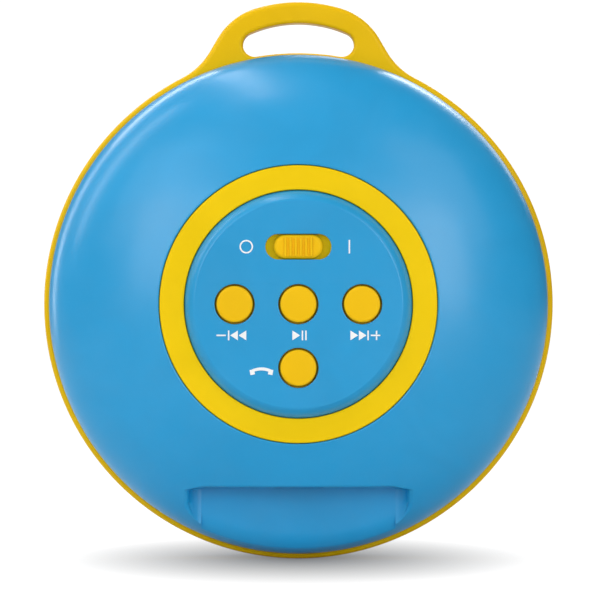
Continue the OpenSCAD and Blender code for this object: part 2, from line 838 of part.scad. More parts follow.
module battery_tray() {
    outer = [battery_l + 2 * tray_wall + 0.6, battery_w + 2 * tray_wall + 0.6];
    height = 7.6;
    low = tray_floor_front - height;
    color(CHIP) forward() difference() {
        translate([-outer[0] / 2, tray_y - outer[1] / 2, low])
            cube([outer[0], outer[1], height]);
        translate([-battery_l / 2 - 0.3, tray_y - battery_w / 2 - 0.3, low - 1])
            cube([battery_l + 0.6, battery_w + 0.6, height - tray_wall + 1]);
        for (side = [-1, 1]) translate([side * tray_post_x, tray_post_y, low])
            cylinder(r = small_screw[0] + seat_fit, h = height + 1, $fn = 32);
    }
}

module tray_screws() {
    color(STEEL) forward() for (side = [-1, 1])
        translate([side * tray_post_x, tray_post_y, tray_floor_front - tray_wall])
            screw([small_screw[0], small_screw[1], 0.5], 5.5);
}

module driver_basket() {
    flange_back = basket_front - basket_flange_t;
    rim_r = driver_r - 4.1;
    seat_r = magnet_r + 1.4;
    profile = [
        [driver_r, basket_front], [driver_r, flange_back],
        [rim_r + 0.3, flange_back], [seat_r + 1.4, spider_seat - 0.6],
        [seat_r + 1.4, basket_back], [gap_r, basket_back], [gap_r, basket_back + 1],
        [seat_r - 1.7, basket_back + 1], [seat_r - 1.7, spider_seat],
        [seat_r, spider_seat], [rim_r, basket_front]];
    window = [7, 12, basket_front - spider_seat - 2.4];
    color(STEEL) forward() difference() {
        union() {
            rotate_extrude() polygon(profile);
            at_corners(lug_ring) translate([0, 0, flange_back])
                cylinder(r = lug_r, h = basket_flange_t);
        }
        for (a = [0:60:300]) rotate(a)
            translate([seat_r - 1, -window[0] / 2, spider_seat + 0.8])
                cube([window[1], window[0], window[2]]);
        at_corners(lug_ring) translate([0, 0, flange_back - 1])
            cylinder(r = driver_screw[0] + seat_fit, h = basket_flange_t + 2, $fn = 32);
    }
}

module driver_gasket() {
    color(RUBBER) forward() translate([0, 0, basket_front])
        ring(driver_r - 0.7, baffle_hole_r + 0.1, gasket_t);
}

module top_plate() {
    color(STEEL) forward() translate([0, 0, magnet_front])
        ring(magnet_r - 1.5, gap_r, top_plate_t);
}

module magnet() {
    color(CHIP) forward() translate([0, 0, magnet_back])
        ring(magnet_r, gap_r + 1.4, magnet_t);
}

module yoke() {
    color(STEEL) forward() {
        translate([0, 0, magnet_back - yoke_t]) cylinder(r = magnet_r - 1, h = yoke_t);
        translate([0, 0, magnet_back - 0.5])
            cylinder(r = pole_r, h = magnet_t + top_plate_t + 0.7);
    }
}

neck_z = basket_back + 4.3;   // back of the cone where it joins the former

module cone() {
    paper_t = 0.5;
    rim_z = basket_front;
    color(CHIP) forward() rotate_extrude() polygon([
        [coil_r + face_gap, neck_z], [coil_r + face_gap, neck_z + paper_t],
        [cone_r - 1, rim_z], [cone_r, rim_z], [cone_r, rim_z - 0.4], [cone_r - 0.9, rim_z - 0.5]]);
}

module dust_cap() {
    rim_r = coil_r + 1.6;
    rim_z = neck_z + 0.5 + (rim_r - coil_r) / (cone_r - 1 - coil_r)
        * (basket_front - neck_z - 0.5) + 0.1;
    cap_rise = 2;
    skin = 0.3;
    outer = [for (i = [0:10]) let (r = rim_r * (1 - i / 10))
        [r, rim_z + cap_rise * (1 - pow(r / rim_r, 2))]];
    color(CHIP) forward() rotate_extrude()
        polygon(concat(outer, [for (p = reversed(outer)) [p[0], p[1] + skin]]));
}

module voice_coil() {
    former_t = 0.3;
    winding = [0.25, 3];
    tail = magnet_front - 0.5;
    color(COPPER) forward() rotate_extrude() polygon([
        [coil_r - former_t, tail], [coil_r + winding[0], tail],
        [coil_r + winding[0], tail + winding[1]], [coil_r, tail + winding[1]],
        [coil_r, neck_z + 1.1], [coil_r - former_t, neck_z + 1.1]]);
}

module surround() {
    skin = 0.4;
    z = basket_front;
    edge_r = driver_r - 2.4;
    color(RUBBER) forward() rotate_extrude() polygon(concat(
        [[cone_r - 0.8, z + face_gap], [cone_r - 0.8, z + skin]],
        arc([roll_mid, z + skin], roll_r + 0.2, 180, 0, 14),
        [[edge_r, z + skin], [edge_r, z + face_gap]],
        arc([roll_mid, z + face_gap], roll_r - 0.2, 0, 180, 14)));
}

module spider() {
    inner = coil_r + face_gap;
    outer = magnet_r + 1.2;
    waves = 3;
    steps = 36;
    crests = [for (i = [0:steps]) let (f = i / steps)
        [inner + (outer - inner) * f,
            spider_seat + 0.5 + 0.35 * sin(360 * waves * f) * sin(180 * f)]];
    color([0.85, 0.65, 0.30]) forward() rotate_extrude()
        polygon(concat([for (p = crests) p - [0, 0.35]], reversed(crests)));
}

terminal_y = -(driver_r - 2.3);

module driver_terminals() {
    color(COPPER) forward() translate([-4, terminal_y - 1.2, basket_front - 2.6])
        cube([8, 2.4, 2.6 - basket_flange_t]);
}

module driver_screws() {
    color(STEEL) forward() at_corners(lug_ring)
        translate([0, 0, basket_front - basket_flange_t]) screw(driver_screw, 3.4);
}

module grille() {
    rows = floor((grille_ledge_r - grille_hole_r) / grille_pitch);
    color(BLUE) forward() translate([0, 0, bezel_floor]) linear_extrude(grille_t) difference() {
        circle(bezel_hole_r - 0.2);
        circle(grille_hole_r, $fn = 24);
        for (row = [1:rows], i = [0:6 * row - 1])
            rotate(60 * i / row) translate([row * grille_pitch, 0])
                circle(grille_hole_r, $fn = 24);
    }
}

module grille_cloth() {
    cloth_t = 0.3;
    color(CHIP) forward() translate([0, 0, bezel_floor - face_gap - cloth_t])
        cylinder(r = grille_ledge_r - 0.2, h = cloth_t);
}

module front_ring() {
    color(YELLOW) forward() {
        translate([0, 0, bezel_floor]) ring(bezel_r, bezel_hole_r, bezel_t);
        for (a = [0:90:270]) rotate(a) translate([shell_screw_ring, 0, bezel_floor - 1.8])
            cylinder(r = 1, h = 2, $fn = 32);
    }
}

module shell_screws() {
    seat = bezel_floor - shell_screw[2] - 0.2;
    color(STEEL) forward() at_corners(shell_screw_ring)
        translate([0, 0, seat]) mirror([0, 0, 1]) screw(shell_screw, seat + 7.5);
}

// A wire on a smooth curve from one place to another, with the directions it leaves them
module lead(start, start_pull, end, end_pull) {
    steps = 14;
    sides = 8;
    path = [for (i = [0:steps])
        bezier(start, start + start_pull, end + end_pull, end, i / steps)];
    headings = [for (i = [0:steps])
        i == 0 ? unit(start_pull) : i == steps ? -unit(end_pull)
            : unit(path[i + 1] - path[i - 1])];
    points = [for (i = [0:steps], s = [0:sides - 1])
        let (
            side = unit(cross(headings[i], [1, 0, 0])),
            other = cross(headings[i], side),
            a = 360 * s / sides
        ) path[i] + lead_r * (cos(a) * side + sin(a) * other)];
    faces = concat(
        [[for (s = [0:sides - 1]) s]],
        [[for (s = [sides - 1:-1:0]) steps * sides + s]],
        [for (i = [0:steps - 1], s = [0:sides - 1])
            let (a = i * sides + s, b = i * sides + (s + 1) % sides)
            [a, a + sides, b + sides, b]]);
    polyhedron(points = points, faces = faces, convexity = 4);
}

plug_end = board_bottom - plug_size[2];

module battery_leads() {
    color(RED) hung() for (x = [-1.5, 1.5])
        lead([x, tray_y - battery_w / 2, 2.4], [0, -2.5, 0],
            [x, battery_plug[1], plug_end], [0, 0, -3.5]);
}

module driver_leads() {
    terminal_back = -(basket_front - 2.6);
    color(RED) hung() for (x = [-1.5, 1.5])
        lead([x, terminal_y, terminal_back], [0, 0, 12],
            [driver_plug[0] + x, driver_plug[1], plug_end], [0, 0, -6]);
}

module port_leads() {
    edge_y = bay_y + port_board_l + 1.1;
    wire_z = port_board_top - board_t / 2;
    color(CHIP) hung() for (x = [1.2, 2.4, 3.6, 4.8])
        lead([x, edge_y, wire_z], [0, 1, 0],
            [x, port_plug[1] - plug_size[1] / 2, wire_z], [0, -1, 0]);
}

rear_shell();
rim_band();
front_shell();
main_seal();
control_panel();
panel_seal();
trim_ring();
trim_ring_screws();
printed_legends();
previous_button();
play_button();
next_button();
call_button();
previous_plunger();
play_plunger();
next_plunger();
call_plunger();
keypad_membrane();
key_switches();
switch_bed();
switch_knob();
switch_actuator();
slide_switch();
main_board();
board_screws();
radio_module();
amplifier_chip();
capacitors();
microphone();
board_connectors();
port_board();
port_board_screws();
usb_socket();
port_cover();
port_cover_root();
battery();
battery_pad();
battery_tray();
tray_screws();
driver_basket();
driver_gasket();
top_plate();
magnet();
yoke();
cone();
dust_cap();
voice_coil();
surround();
spider();
driver_terminals();
driver_screws();
grille();
grille_cloth();
front_ring();
shell_screws();
battery_leads();
driver_leads();
port_leads();
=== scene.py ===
import json
import logging
import math
from dataclasses import dataclass, field
from enum import Enum
from typing import Callable, Sequence

import bmesh
import bpy
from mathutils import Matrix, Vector
from mathutils.geometry import tessellate_polygon


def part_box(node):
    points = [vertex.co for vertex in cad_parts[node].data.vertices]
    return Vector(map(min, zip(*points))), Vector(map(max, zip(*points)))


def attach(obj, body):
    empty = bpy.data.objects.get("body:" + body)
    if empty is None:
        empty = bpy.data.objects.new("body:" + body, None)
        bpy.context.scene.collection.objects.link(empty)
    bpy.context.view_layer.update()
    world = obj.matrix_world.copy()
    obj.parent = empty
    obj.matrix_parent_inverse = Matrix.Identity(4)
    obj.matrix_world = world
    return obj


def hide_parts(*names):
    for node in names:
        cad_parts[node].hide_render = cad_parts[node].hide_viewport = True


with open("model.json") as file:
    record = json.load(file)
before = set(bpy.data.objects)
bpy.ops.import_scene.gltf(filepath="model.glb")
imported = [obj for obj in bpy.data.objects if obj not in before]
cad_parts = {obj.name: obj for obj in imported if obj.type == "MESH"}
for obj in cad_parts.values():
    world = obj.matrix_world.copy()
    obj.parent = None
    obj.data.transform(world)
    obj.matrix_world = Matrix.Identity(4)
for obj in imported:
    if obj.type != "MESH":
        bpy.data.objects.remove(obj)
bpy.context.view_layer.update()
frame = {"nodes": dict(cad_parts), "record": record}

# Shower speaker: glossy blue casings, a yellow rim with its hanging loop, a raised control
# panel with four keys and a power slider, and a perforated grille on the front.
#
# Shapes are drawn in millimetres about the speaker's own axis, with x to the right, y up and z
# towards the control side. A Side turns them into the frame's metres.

log = logging.getLogger("shower_speaker")

Point = tuple[float, float]
Point3 = tuple[float, float, float]
Placer = Callable[[float, float, float], Vector]
Piece = bpy.types.Object
Tree = bpy.types.NodeTree
Socket = bpy.types.NodeSocket
Sockets = bpy.types.bpy_prop_collection

MM = 0.001
HOUSING = "housing"
SHARP_EDGE = math.radians(35)  # edges steeper than this stay sharp
FINE_TURN = 192  # parts of the turn of a large round piece
WHITE = (1.0, 1.0, 1.0, 1.0)
FIT = 0.1  # play round a piece that is let into another


# ---------------------------------------------------------------- places in the frame


def middle_height() -> float:
    """Return the height of the speaker's axis in the frame, in metres."""
    low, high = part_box("front_ring")
    return (low.z + high.z) / 2


AXIS_HEIGHT = middle_height()


class Side(Enum):
    """Which way a piece's own z points."""

    CONTROL = -1
    GRILLE = 1

    def place(self, x: float, y: float, z: float) -> Vector:
        """Turn a point of the speaker's own axes into the frame, in metres."""
        return Vector((x * MM, self.value * z * MM, y * MM + AXIS_HEIGHT))


@dataclass(frozen=True)
class Span:
    """The room that a CAD node takes, in millimetres on the speaker's own axes."""

    low: Vector
    high: Vector

    @staticmethod
    def of(node: str) -> "Span":
        """Measure a CAD node.

        Args:
            node: the node's name.

        Returns:
            Its lowest and highest corner, with z towards the control side.
        """
        low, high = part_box(node)
        rise = AXIS_HEIGHT
        return Span(
            Vector((low.x, low.z - rise, -high.y)) / MM,
            Vector((high.x, high.z - rise, -low.y)) / MM,
        )

    @property
    def size(self) -> Vector:
        """The length of each side."""
        return self.high - self.low

    @property
    def radius(self) -> float:
        """Half of the width."""
        return (self.high.x - self.low.x) / 2

    @property
    def centre(self) -> Vector:
        """The middle of the box."""
        return (self.low + self.high) / 2

    @property
    def spot(self) -> Point:
        """Where the node's middle is on the control side."""
        return tuple(self.centre[:2])

    @property
    def front(self) -> Point:
        """The heights of the face and of the back towards the grille side."""
        return -self.low.z, -self.high.z


# ---------------------------------------------------------------- outlines


def arc(centre: Point, radius: float, start: float, end: float, steps: int) -> list[Point]:
    """Sample an arc in equal steps between two angles in degrees, both ends included."""
    angles = [math.radians(start + (end - start) * i / steps) for i in range(steps + 1)]
    return [(centre[0] + radius * math.cos(a), centre[1] + radius * math.sin(a)) for a in angles]


def circle(radius: float, steps: int, centre: Point = (0.0, 0.0)) -> list[Point]:
    """Sample a whole circle anticlockwise, without repeating its first point."""
    return arc(centre, radius, 0, 360, steps)[:-1]


def pill(length: float, width: float, centre: Point, steps: int = 16) -> list[Point]:
    """Draw a bar along x with round ends, anticlockwise."""
    (x, y), reach, end = centre, (length - width) / 2, width / 2
    return arc((x + reach, y), end, -90, 90, steps) + arc((x - reach, y), end, 90, 270, steps)


def round_box(width: float, height: float, corner: float, centre: Point) -> list[Point]:
    """Draw a rectangle with round corners.

    Args:
        width: size along x.
        height: size along y.
        corner: radius of the corners.
        centre: middle of the rectangle.

    Returns:
        Its outline, anticlockwise.
    """
    x, y = width / 2 - corner, height / 2 - corner
    outline: list[Point] = []
    for turn, (sx, sy) in enumerate(((1, 1), (-1, 1), (-1, -1), (1, -1))):
        middle = (centre[0] + sx * x, centre[1] + sy * y)
        outline += arc(middle, corner, 90 * turn, 90 * turn + 90, 6)
    return outline


def mirrored(right: list[Point]) -> list[Point]:
    """Close the right half of an outline, which starts and ends on the axis, with its left."""
    return right + [(-p[0], p[1]) for p in reversed(right[1:-1])]


def round_corner(
    here: Vector, before: Vector, after: Vector, radius: float, steps: int
) -> list[Point]:
    """Round one corner of a line.

    Args:
        here: the corner.
        before: direction from it back along the line.
        after: direction from it on along the line.
        radius: radius of the rounding.
        steps: parts of the rounding.

    Returns:
        The rounding's points, both ends included.
    """
    half = before.angle(after) / 2
    middle = here + (before + after).normalized() * (radius / math.sin(half))
    reach = radius / math.tan(half)
    first, last = here + before * reach - middle, here + after * reach - middle
    turn = first.angle_signed(last)
    line = []
    for k in range(steps + 1):
        c, s = math.cos(-turn * k / steps), math.sin(-turn * k / steps)
        line.append((middle.x + first.x * c - first.y * s, middle.y + first.x * s + first.y * c))
    return line


def fillet(corners: Sequence[Point3], steps: int = 5) -> list[Point]:
    """Round the corners of an open line.

    Args:
        corners: points as (r, z, radius), where a radius of zero leaves a corner sharp.
        steps: parts of each rounded corner.

    Returns:
        The line with its corners replaced by arcs.
    """
    line: list[Point] = []
    for i, (r, z, radius) in enumerate(corners):
        if radius <= 0 or i in (0, len(corners) - 1):
            line.append((r, z))
            continue
        here = Vector((r, z))
        before = (Vector(corners[i - 1][:2]) - here).normalized()
        after = (Vector(corners[i + 1][:2]) - here).normalized()
        line += round_corner(here, before, after, radius, steps)
    return line


def rounded_rim(z: float, edge: float, upwards: bool = True, steps: int = 5) -> list[Point]:
    """Build the part of a contour's stack that rounds one of its edges.

    Args:
        z: height of the flat face that the edge runs into.
        edge: radius of the edge, inwards from the contour.
        upwards: True for an edge at the top, which the stack passes first.
        steps: parts of the rounding.

    Returns:
        Pairs of offset and height, ordered downwards.
    """
    quarter = [math.radians(90 * i / steps) for i in range(steps + 1)]
    ring = [(edge * (math.sin(a) - 1), z - edge * (1 - math.cos(a))) for a in quarter]
    return ring if upwards else [(o, 2 * z - h) for o, h in reversed(ring)]


def rounded_wall(top: float, low: float, edge: float, steps: int = 5) -> list[Point]:
    """Build the stack of a side wall that is rounded at its top and at its foot."""
    return rounded_rim(top, edge, True, steps) + rounded_rim(low, edge, False, steps)


@dataclass
class Contour:
    """A closed outline with the rings that its side wall passes, from the top face down."""

    points: list[Point]
    stack: list[Point]
    hole: bool = False

    def rings(self) -> list[list[Point3]]:
        """Offset the outline once for each entry of the stack.

        Returns:
            One ring of points for each entry. A positive offset leads out of the material.
        """
        count = len(self.points)
        area = sum(
            self.points[i][0] * self.points[(i + 1) % count][1]
            - self.points[(i + 1) % count][0] * self.points[i][1]
            for i in range(count)
        )
        sign = (1 if area > 0 else -1) * (-1 if self.hole else 1)
        normals = []
        for i in range(count):
            here = Vector(self.points[i])
            into = (here - Vector(self.points[i - 1])).normalized()
            out = (Vector(self.points[(i + 1) % count]) - here).normalized()
            normal = Vector((into.y + out.y, -into.x - out.x)).normalized()
            spread = max(0.5, normal.dot(Vector((into.y, -into.x))))
            normals.append(normal * sign / spread)
        return [
            [(p[0] + n.x * offset, p[1] + n.y * offset, z) for p, n in zip(self.points, normals)]
            for offset, z in self.stack
        ]


# ---------------------------------------------------------------- solids


def add_object(name: str, data: bpy.types.ID) -> Piece:
    """Put a new object into the scene.

    Args:
        name: the object's name.
        data: its mesh, light or camera.

    Returns:
        The object.
    """
    made = bpy.data.objects.new(name, data)
    bpy.context.scene.collection.objects.link(made)
    return made


def finish_mesh(name: str, points: Sequence[Vector], faces: Sequence[Sequence[int]]) -> Piece:
    """Make an object from points and faces, closed and with its faces turned outwards.

    Args:
        name: the object's name.
        points: vertices in the frame, in metres.
        faces: vertex numbers of each face.

    Returns:
        The new object.
    """
    mesh = bpy.data.meshes.new(name)
    mesh.from_pydata([tuple(p) for p in points], [], [tuple(f) for f in faces])
    work = bmesh.new()
    work.from_mesh(mesh)
    bmesh.ops.remove_doubles(work, verts=work.verts, dist=2e-7)
    bmesh.ops.recalc_face_normals(work, faces=work.faces)
    work.to_mesh(mesh)
    work.free()
    mesh.validate()
    return add_object(name, mesh)


def lathe(
    name: str, profile: Sequence[Point], side: Side = Side.CONTROL, steps: int = 144,
    centre: Point = (0.0, 0.0),
) -> Piece:
    """Turn a closed profile round an axis along the speaker's depth.

    Args:
        name: the object's name.
        profile: points as (r, z) in order round the section. Points at r = 0 lie on the axis.
        side: the side that z points to.
        steps: parts of the whole turn.
        centre: where the axis is.

    Returns:
        The turned solid.
    """
    points: list[Vector] = []
    rows: list[list[int]] = []
    for r, z in profile:
        if r < 1e-6:
            rows.append([len(points)] * steps)
            points.append(side.place(*centre, z))
            continue
        rows.append(list(range(len(points), len(points) + steps)))
        for i in range(steps):
            a = 2 * math.pi * i / steps
            points.append(side.place(centre[0] + r * math.cos(a), centre[1] + r * math.sin(a), z))
    faces = []
    for row, below in zip(rows, rows[1:] + rows[:1]):
        for i in range(steps):
            j = (i + 1) % steps
            face = list(dict.fromkeys((row[i], row[j], below[j], below[i])))
            if len(face) > 2:
                faces.append(face)
    return finish_mesh(name, points, faces)


def slab(name: str, contours: Sequence[Contour], place: Placer = Side.CONTROL.place) -> Piece:
    """Build a solid from one outer contour and its holes.

    Args:
        name: the object's name.
        contours: the outer contour first. All start in the top face and end in the bottom one.
        place: turns a point of the slab's own axes into the frame.

    Returns:
        The solid, with flat faces closed between the contours.
    """
    points: list[Vector] = []
    faces: list[Sequence[int]] = []
    caps: tuple[tuple[list, list], ...] = (([], []), ([], []))
    for contour in contours:
        rings = contour.rings()
        size, start = len(contour.points), len(points)
        for ring in rings:
            points += [place(*p) for p in ring]
        last = start + (len(rings) - 1) * size
        for a in range(start, last, size):
            for i in range(size):
                j = (i + 1) % size
                faces.append((a + i, a + j, a + size + j, a + size + i))
        for (loops, numbers), ring, first in zip(caps, (rings[0], rings[-1]), (start, last)):
            loops.append([Vector(p) for p in ring])
            numbers.extend(range(first, first + size))
    for loops, numbers in caps:
        faces += [tuple(numbers[i] for i in triangle) for triangle in tessellate_polygon(loops)]
    return finish_mesh(name, points, faces)


class Carving(Enum):
    """What becomes of a solid that is carved with another."""

    CUT = "DIFFERENCE"
    JOIN = "UNION"
    CROSS = "INTERSECT"


def carve(target: Piece, tool: Piece, how: Carving = Carving.CUT) -> None:
    """Cut, join or cross a solid with another, which is used up.

    Args:
        target: the solid that keeps the result.
        tool: the other solid.
        how: what is done.
    """
    step = target.modifiers.new("carve", "BOOLEAN")
    step.operation = how.value
    step.object = tool
    step.solver = "MANIFOLD"
    ready = target.evaluated_get(bpy.context.evaluated_depsgraph_get())
    mesh = bpy.data.meshes.new_from_object(ready)
    target.modifiers.clear()
    target.data = mesh
    bpy.data.objects.remove(tool)


def smooth(piece: Piece) -> None:
    """Shade a piece smoothly, with its flat faces kept flat and its sharp edges sharp.

    Args:
        piece: the object.
    """
    piece.data.shade_smooth()
    piece.data.set_sharp_from_angle(angle=SHARP_EDGE)
    weights = piece.modifiers.new("flat faces stay flat", "WEIGHTED_NORMAL")
    weights.keep_sharp = True
    weights.weight = 60


@dataclass(frozen=True)
class Dome:
    """A casing's curved outer face."""

    radius: float
    height: float
    power: float
    foot: float

    def under(self, depth: float) -> "Dome":
        """Return the same face, moved inwards."""
        return Dome(self.radius - depth, self.height - depth, self.power, self.foot)

    def at(self, r: float) -> float:
        """Return the height of the face at a distance from the axis."""
        share = max(0.0, 1 - (min(r, self.radius) / self.radius) ** self.power)
        return self.foot + self.height * share ** (1 / self.power)

    def slope(self, r: float) -> float:
        """Return how fast the face rises with the distance from the axis.

        Args:
            r: the distance from the axis.

        Returns:
            The rise for each millimetre outwards, below zero on a dome.
        """
        share = max(1e-9, 1 - (min(r, self.radius) / self.radius) ** self.power)
        rise = (max(r, 1e-9) / self.radius) ** (self.power - 1) / self.radius
        return -self.height * rise * share ** (1 / self.power - 1)

    def curve(self, inner: float, steps: int) -> list[Point]:
        """Sample the face from its foot in to a radius.

        Args:
            inner: the radius at which it stops.
            steps: parts of the line.

        Returns:
            Points as (r, z), inwards.
        """
        last = math.acos((inner / self.radius) ** (self.power / 2))
        power = 2 / self.power
        turns = [last * i / steps for i in range(steps + 1)]
        return [
            (self.radius * math.cos(t) ** power, self.foot + self.height * math.sin(t) ** power)
            for t in turns
        ]

    def holds(self, r: float, z: float) -> bool:
        """Tell whether a point lies on this face.

        Args:
            r: its distance from the axis.
            z: its height.

        Returns:
            True if it does, with more play next to the steep foot.
        """
        if z < self.foot - 0.01 or r > self.radius + 0.05:
            return False
        play = 0.03 + 0.1 * (r > self.radius - 1)
        return abs(z - self.at(r)) <= play

    def shade(self, piece: Piece, side: Side) -> None:
        """Give the vertices on this face the face's own normals.

        Args:
            piece: the object.
            side: the side that the dome points to.
        """
        mesh = piece.data
        mesh.shade_smooth()
        mesh.set_sharp_from_angle(angle=SHARP_EDGE)
        normals = [Vector(n.vector) for n in mesh.corner_normals]
        for polygon in mesh.polygons:
            flat = [mesh.vertices[v].co for v in polygon.vertices]
            local = [(p.x / MM, (p.z - AXIS_HEIGHT) / MM, side.value * p.y / MM) for p in flat]
            if not all(self.holds(math.hypot(x, y), z) for x, y, z in local):
                continue
            for loop, (x, y, _) in zip(polygon.loop_indices, local):
                r = math.hypot(x, y)
                fall = -self.slope(r)
                normals[loop] = Vector((x / r * fall, side.value, y / r * fall)).normalized()
        mesh.normals_split_custom_set(normals)


# ---------------------------------------------------------------- finishes


class Graph:
    """A short way to lay out shader nodes."""

    def __init__(self, tree: Tree) -> None:
        """Keep the tree that the nodes go into."""
        self.tree = tree

    def link(self, source: Socket, socket: Socket) -> None:
        """Join an output to an input."""
        self.tree.links.new(source, socket)

    def feed(self, socket: Socket, value: object) -> None:
        """Give an input its value.

        Args:
            socket: the input.
            value: a number, colour or vector, or the output that drives it.
        """
        if isinstance(value, Socket):
            self.link(value, socket)
        else:
            socket.default_value = value

    def node(self, kind: str, settings: dict | None = None, **inputs: object) -> bpy.types.Node:
        """Add a node.

        Args:
            kind: the node's type without its ShaderNode prefix.
            settings: the node's own properties.
            **inputs: values or sockets for its inputs, with underscores for spaces, or i and
                a number for an input without a name of its own.

        Returns:
            The new node.
        """
        made = self.tree.nodes.new("ShaderNode" + kind)
        for key, value in (settings or {}).items():
            setattr(made, key, value)
        for key, value in inputs.items():
            numbered = key[0] == "i" and key[1:].isdigit()
            self.feed(made.inputs[int(key[1:]) if numbered else key.replace("_", " ")], value)
        return made

    def math(self, operation: str, a: object, b: object = 0.5, clamp: bool = False) -> Socket:
        """Add a math node and return its result."""
        made = self.node("Math", {"operation": operation, "use_clamp": clamp}, i0=a, i1=b)
        return made.outputs[0]

    def spread(
        self, value: object, low: float, high: float, to_low: float = 0.0, to_high: float = 1.0
    ) -> Socket:
        """Stretch a value from one range onto another, held within it, and return the result."""
        ends = {"From_Min": low, "From_Max": high, "To_Min": to_low, "To_Max": to_high}
        return self.node("MapRange", {"clamp": True}, Value=value, **ends).outputs["Result"]

    def mix(self, share: object, a: object, b: object) -> Socket:
        """Mix two colours and return the result."""
        return self.node("Mix", {"data_type": "RGBA"}, i0=share, i6=a, i7=b).outputs[2]


def new_group(
    name: str, inputs: dict[str, float], outputs: Sequence[str]
) -> tuple[Graph, Sockets, Sockets]:
    """Start a shader node group with number inputs and outputs.

    Args:
        name: the group's name.
        inputs: each input's name and usual value.
        outputs: each output's name.

    Returns:
        A graph for the group, the sockets that bring its inputs, and those of its outputs.
    """
    tree = bpy.data.node_groups.new(name, "ShaderNodeTree")
    for key, value in inputs.items():
        socket = tree.interface.new_socket(name=key, in_out="INPUT", socket_type="NodeSocketFloat")
        socket.default_value = value
    for key in outputs:
        tree.interface.new_socket(name=key, in_out="OUTPUT", socket_type="NodeSocketFloat")
    given, out = tree.nodes.new("NodeGroupInput"), tree.nodes.new("NodeGroupOutput")
    return Graph(tree), given.outputs, out.inputs


class Effects:
    """The node groups that several finishes share."""

    def __init__(self) -> None:
        """Build each group once."""
        self.grain = self._grain()
        self.wear = self._wear()
        self.film = self._film()
        self.weave = self._weave()

    @staticmethod
    def _grain() -> Tree:
        """Build the fine skin of a moulding and the broad flow marks under it.

        Returns:
            The group.
        """
        sizes = {"Scale": 2500.0, "Flow Scale": 45.0}
        g, given, out = new_group("moulding grain", sizes, ("Height", "Flow", "Fleck"))
        place = g.node("TexCoord").outputs["Object"]
        fine = g.node("TexNoise", Vector=place, Scale=given["Scale"], Detail=3.0, Roughness=0.6)
        broad = given["Flow Scale"]
        flow = g.node("TexNoise", Vector=place, Scale=broad, Detail=2.0, Distortion=1.2)
        fleck = g.node("TexVoronoi", Vector=place, Scale=g.math("MULTIPLY", given["Scale"], 0.35))
        g.link(fine.outputs["Fac"], out["Height"])
        g.link(g.spread(flow.outputs["Fac"], 0.3, 0.7), out["Flow"])
        g.link(g.spread(fleck.outputs["Distance"], 0.0, 0.12, 1.0, 0.0), out["Fleck"])
        return g.tree

    @staticmethod
    def _wear() -> Tree:
        """Build the mask of edges that hands and shelves rub.

        Returns:
            The group.
        """
        sizes = {"Width": 0.0004, "Break Up": 400.0}
        g, given, out = new_group("rubbed edges", sizes, ("Mask",))
        rounded = g.node("Bevel", {"samples": 3}, Radius=given["Width"])
        true_face = g.node("NewGeometry").outputs["Normal"]
        pair = {"i0": rounded.outputs["Normal"], "i1": true_face}
        turned = g.node("VectorMath", {"operation": "DOT_PRODUCT"}, **pair)
        place = g.node("TexCoord").outputs["Object"]
        noise = g.node("TexNoise", Vector=place, Scale=given["Break Up"])
        edge = g.spread(turned.outputs["Value"], 1.0, 0.9)
        broken = g.spread(noise.outputs["Fac"], 0.35, 0.65, 0.2, 1.0)
        g.link(g.math("MULTIPLY", edge, broken, True), out["Mask"])
        return g.tree

    @staticmethod
    def _film() -> Tree:
        """Build the faint film that water and fingers leave on a surface.

        Returns:
            The group.
        """
        g, given, out = new_group("water film", {"Scale": 90.0}, ("Film",))
        place = g.node("TexCoord").outputs["Object"]
        cloud = g.node("TexNoise", Vector=place, Scale=given["Scale"], Detail=4.0, Roughness=0.65)
        g.link(g.spread(cloud.outputs["Fac"], 0.42, 0.72), out["Film"])
        return g.tree

    @staticmethod
    def _weave() -> Tree:
        """Build a plain weave across the speaker's face, with painted shade between its threads.

        Returns:
            The group.
        """
        g, given, out = new_group("plain weave", {"Threads": 3600.0}, ("Height", "Gap"))
        place = g.node("SeparateXYZ", Vector=g.node("TexCoord").outputs["Object"])
        warp = g.math("SINE", g.math("MULTIPLY", place.outputs["X"], given["Threads"]))
        weft = g.math("SINE", g.math("MULTIPLY", place.outputs["Z"], given["Threads"]))
        over = g.math("ABSOLUTE", g.math("MULTIPLY", warp, weft))
        g.link(over, out["Height"])
        # The gaps between the threads get painted shade: this mask darkens them.
        g.link(g.spread(over, 0.0, 0.35, 1.0, 0.0), out["Gap"])
        return g.tree


def ink(red: float, green: float, blue: float) -> tuple[float, float, float, float]:
    """Turn a colour as paint charts give it, from 0 to 255, into a linear one.

    Args:
        red: its red.
        green: its green.
        blue: its blue.

    Returns:
        The linear colour, with an alpha of one.
    """
    shares = [value / 255 for value in (red, green, blue)]
    linear = [v / 12.92 if v <= 0.04045 else ((v + 0.055) / 1.055) ** 2.4 for v in shares]
    return (*linear, 1.0)


PALE_FILM = ink(236, 238, 240)
# Near-black painted into a weave's gaps as shade between its threads.
PAINTED_GAP_SHADE = (0.002, 0.002, 0.002, 1.0)
FILM_TINT, FILM_DULLING = 0.12, 0.25  # how far a full film pales and dulls a surface
WEAR_DULLING = 0.2
SKIN_UNDER_WEAVE = 0.2
SCATTER_COLOURS, SCATTER_DEPTH = (1.0, 0.6, 0.3), 0.0015


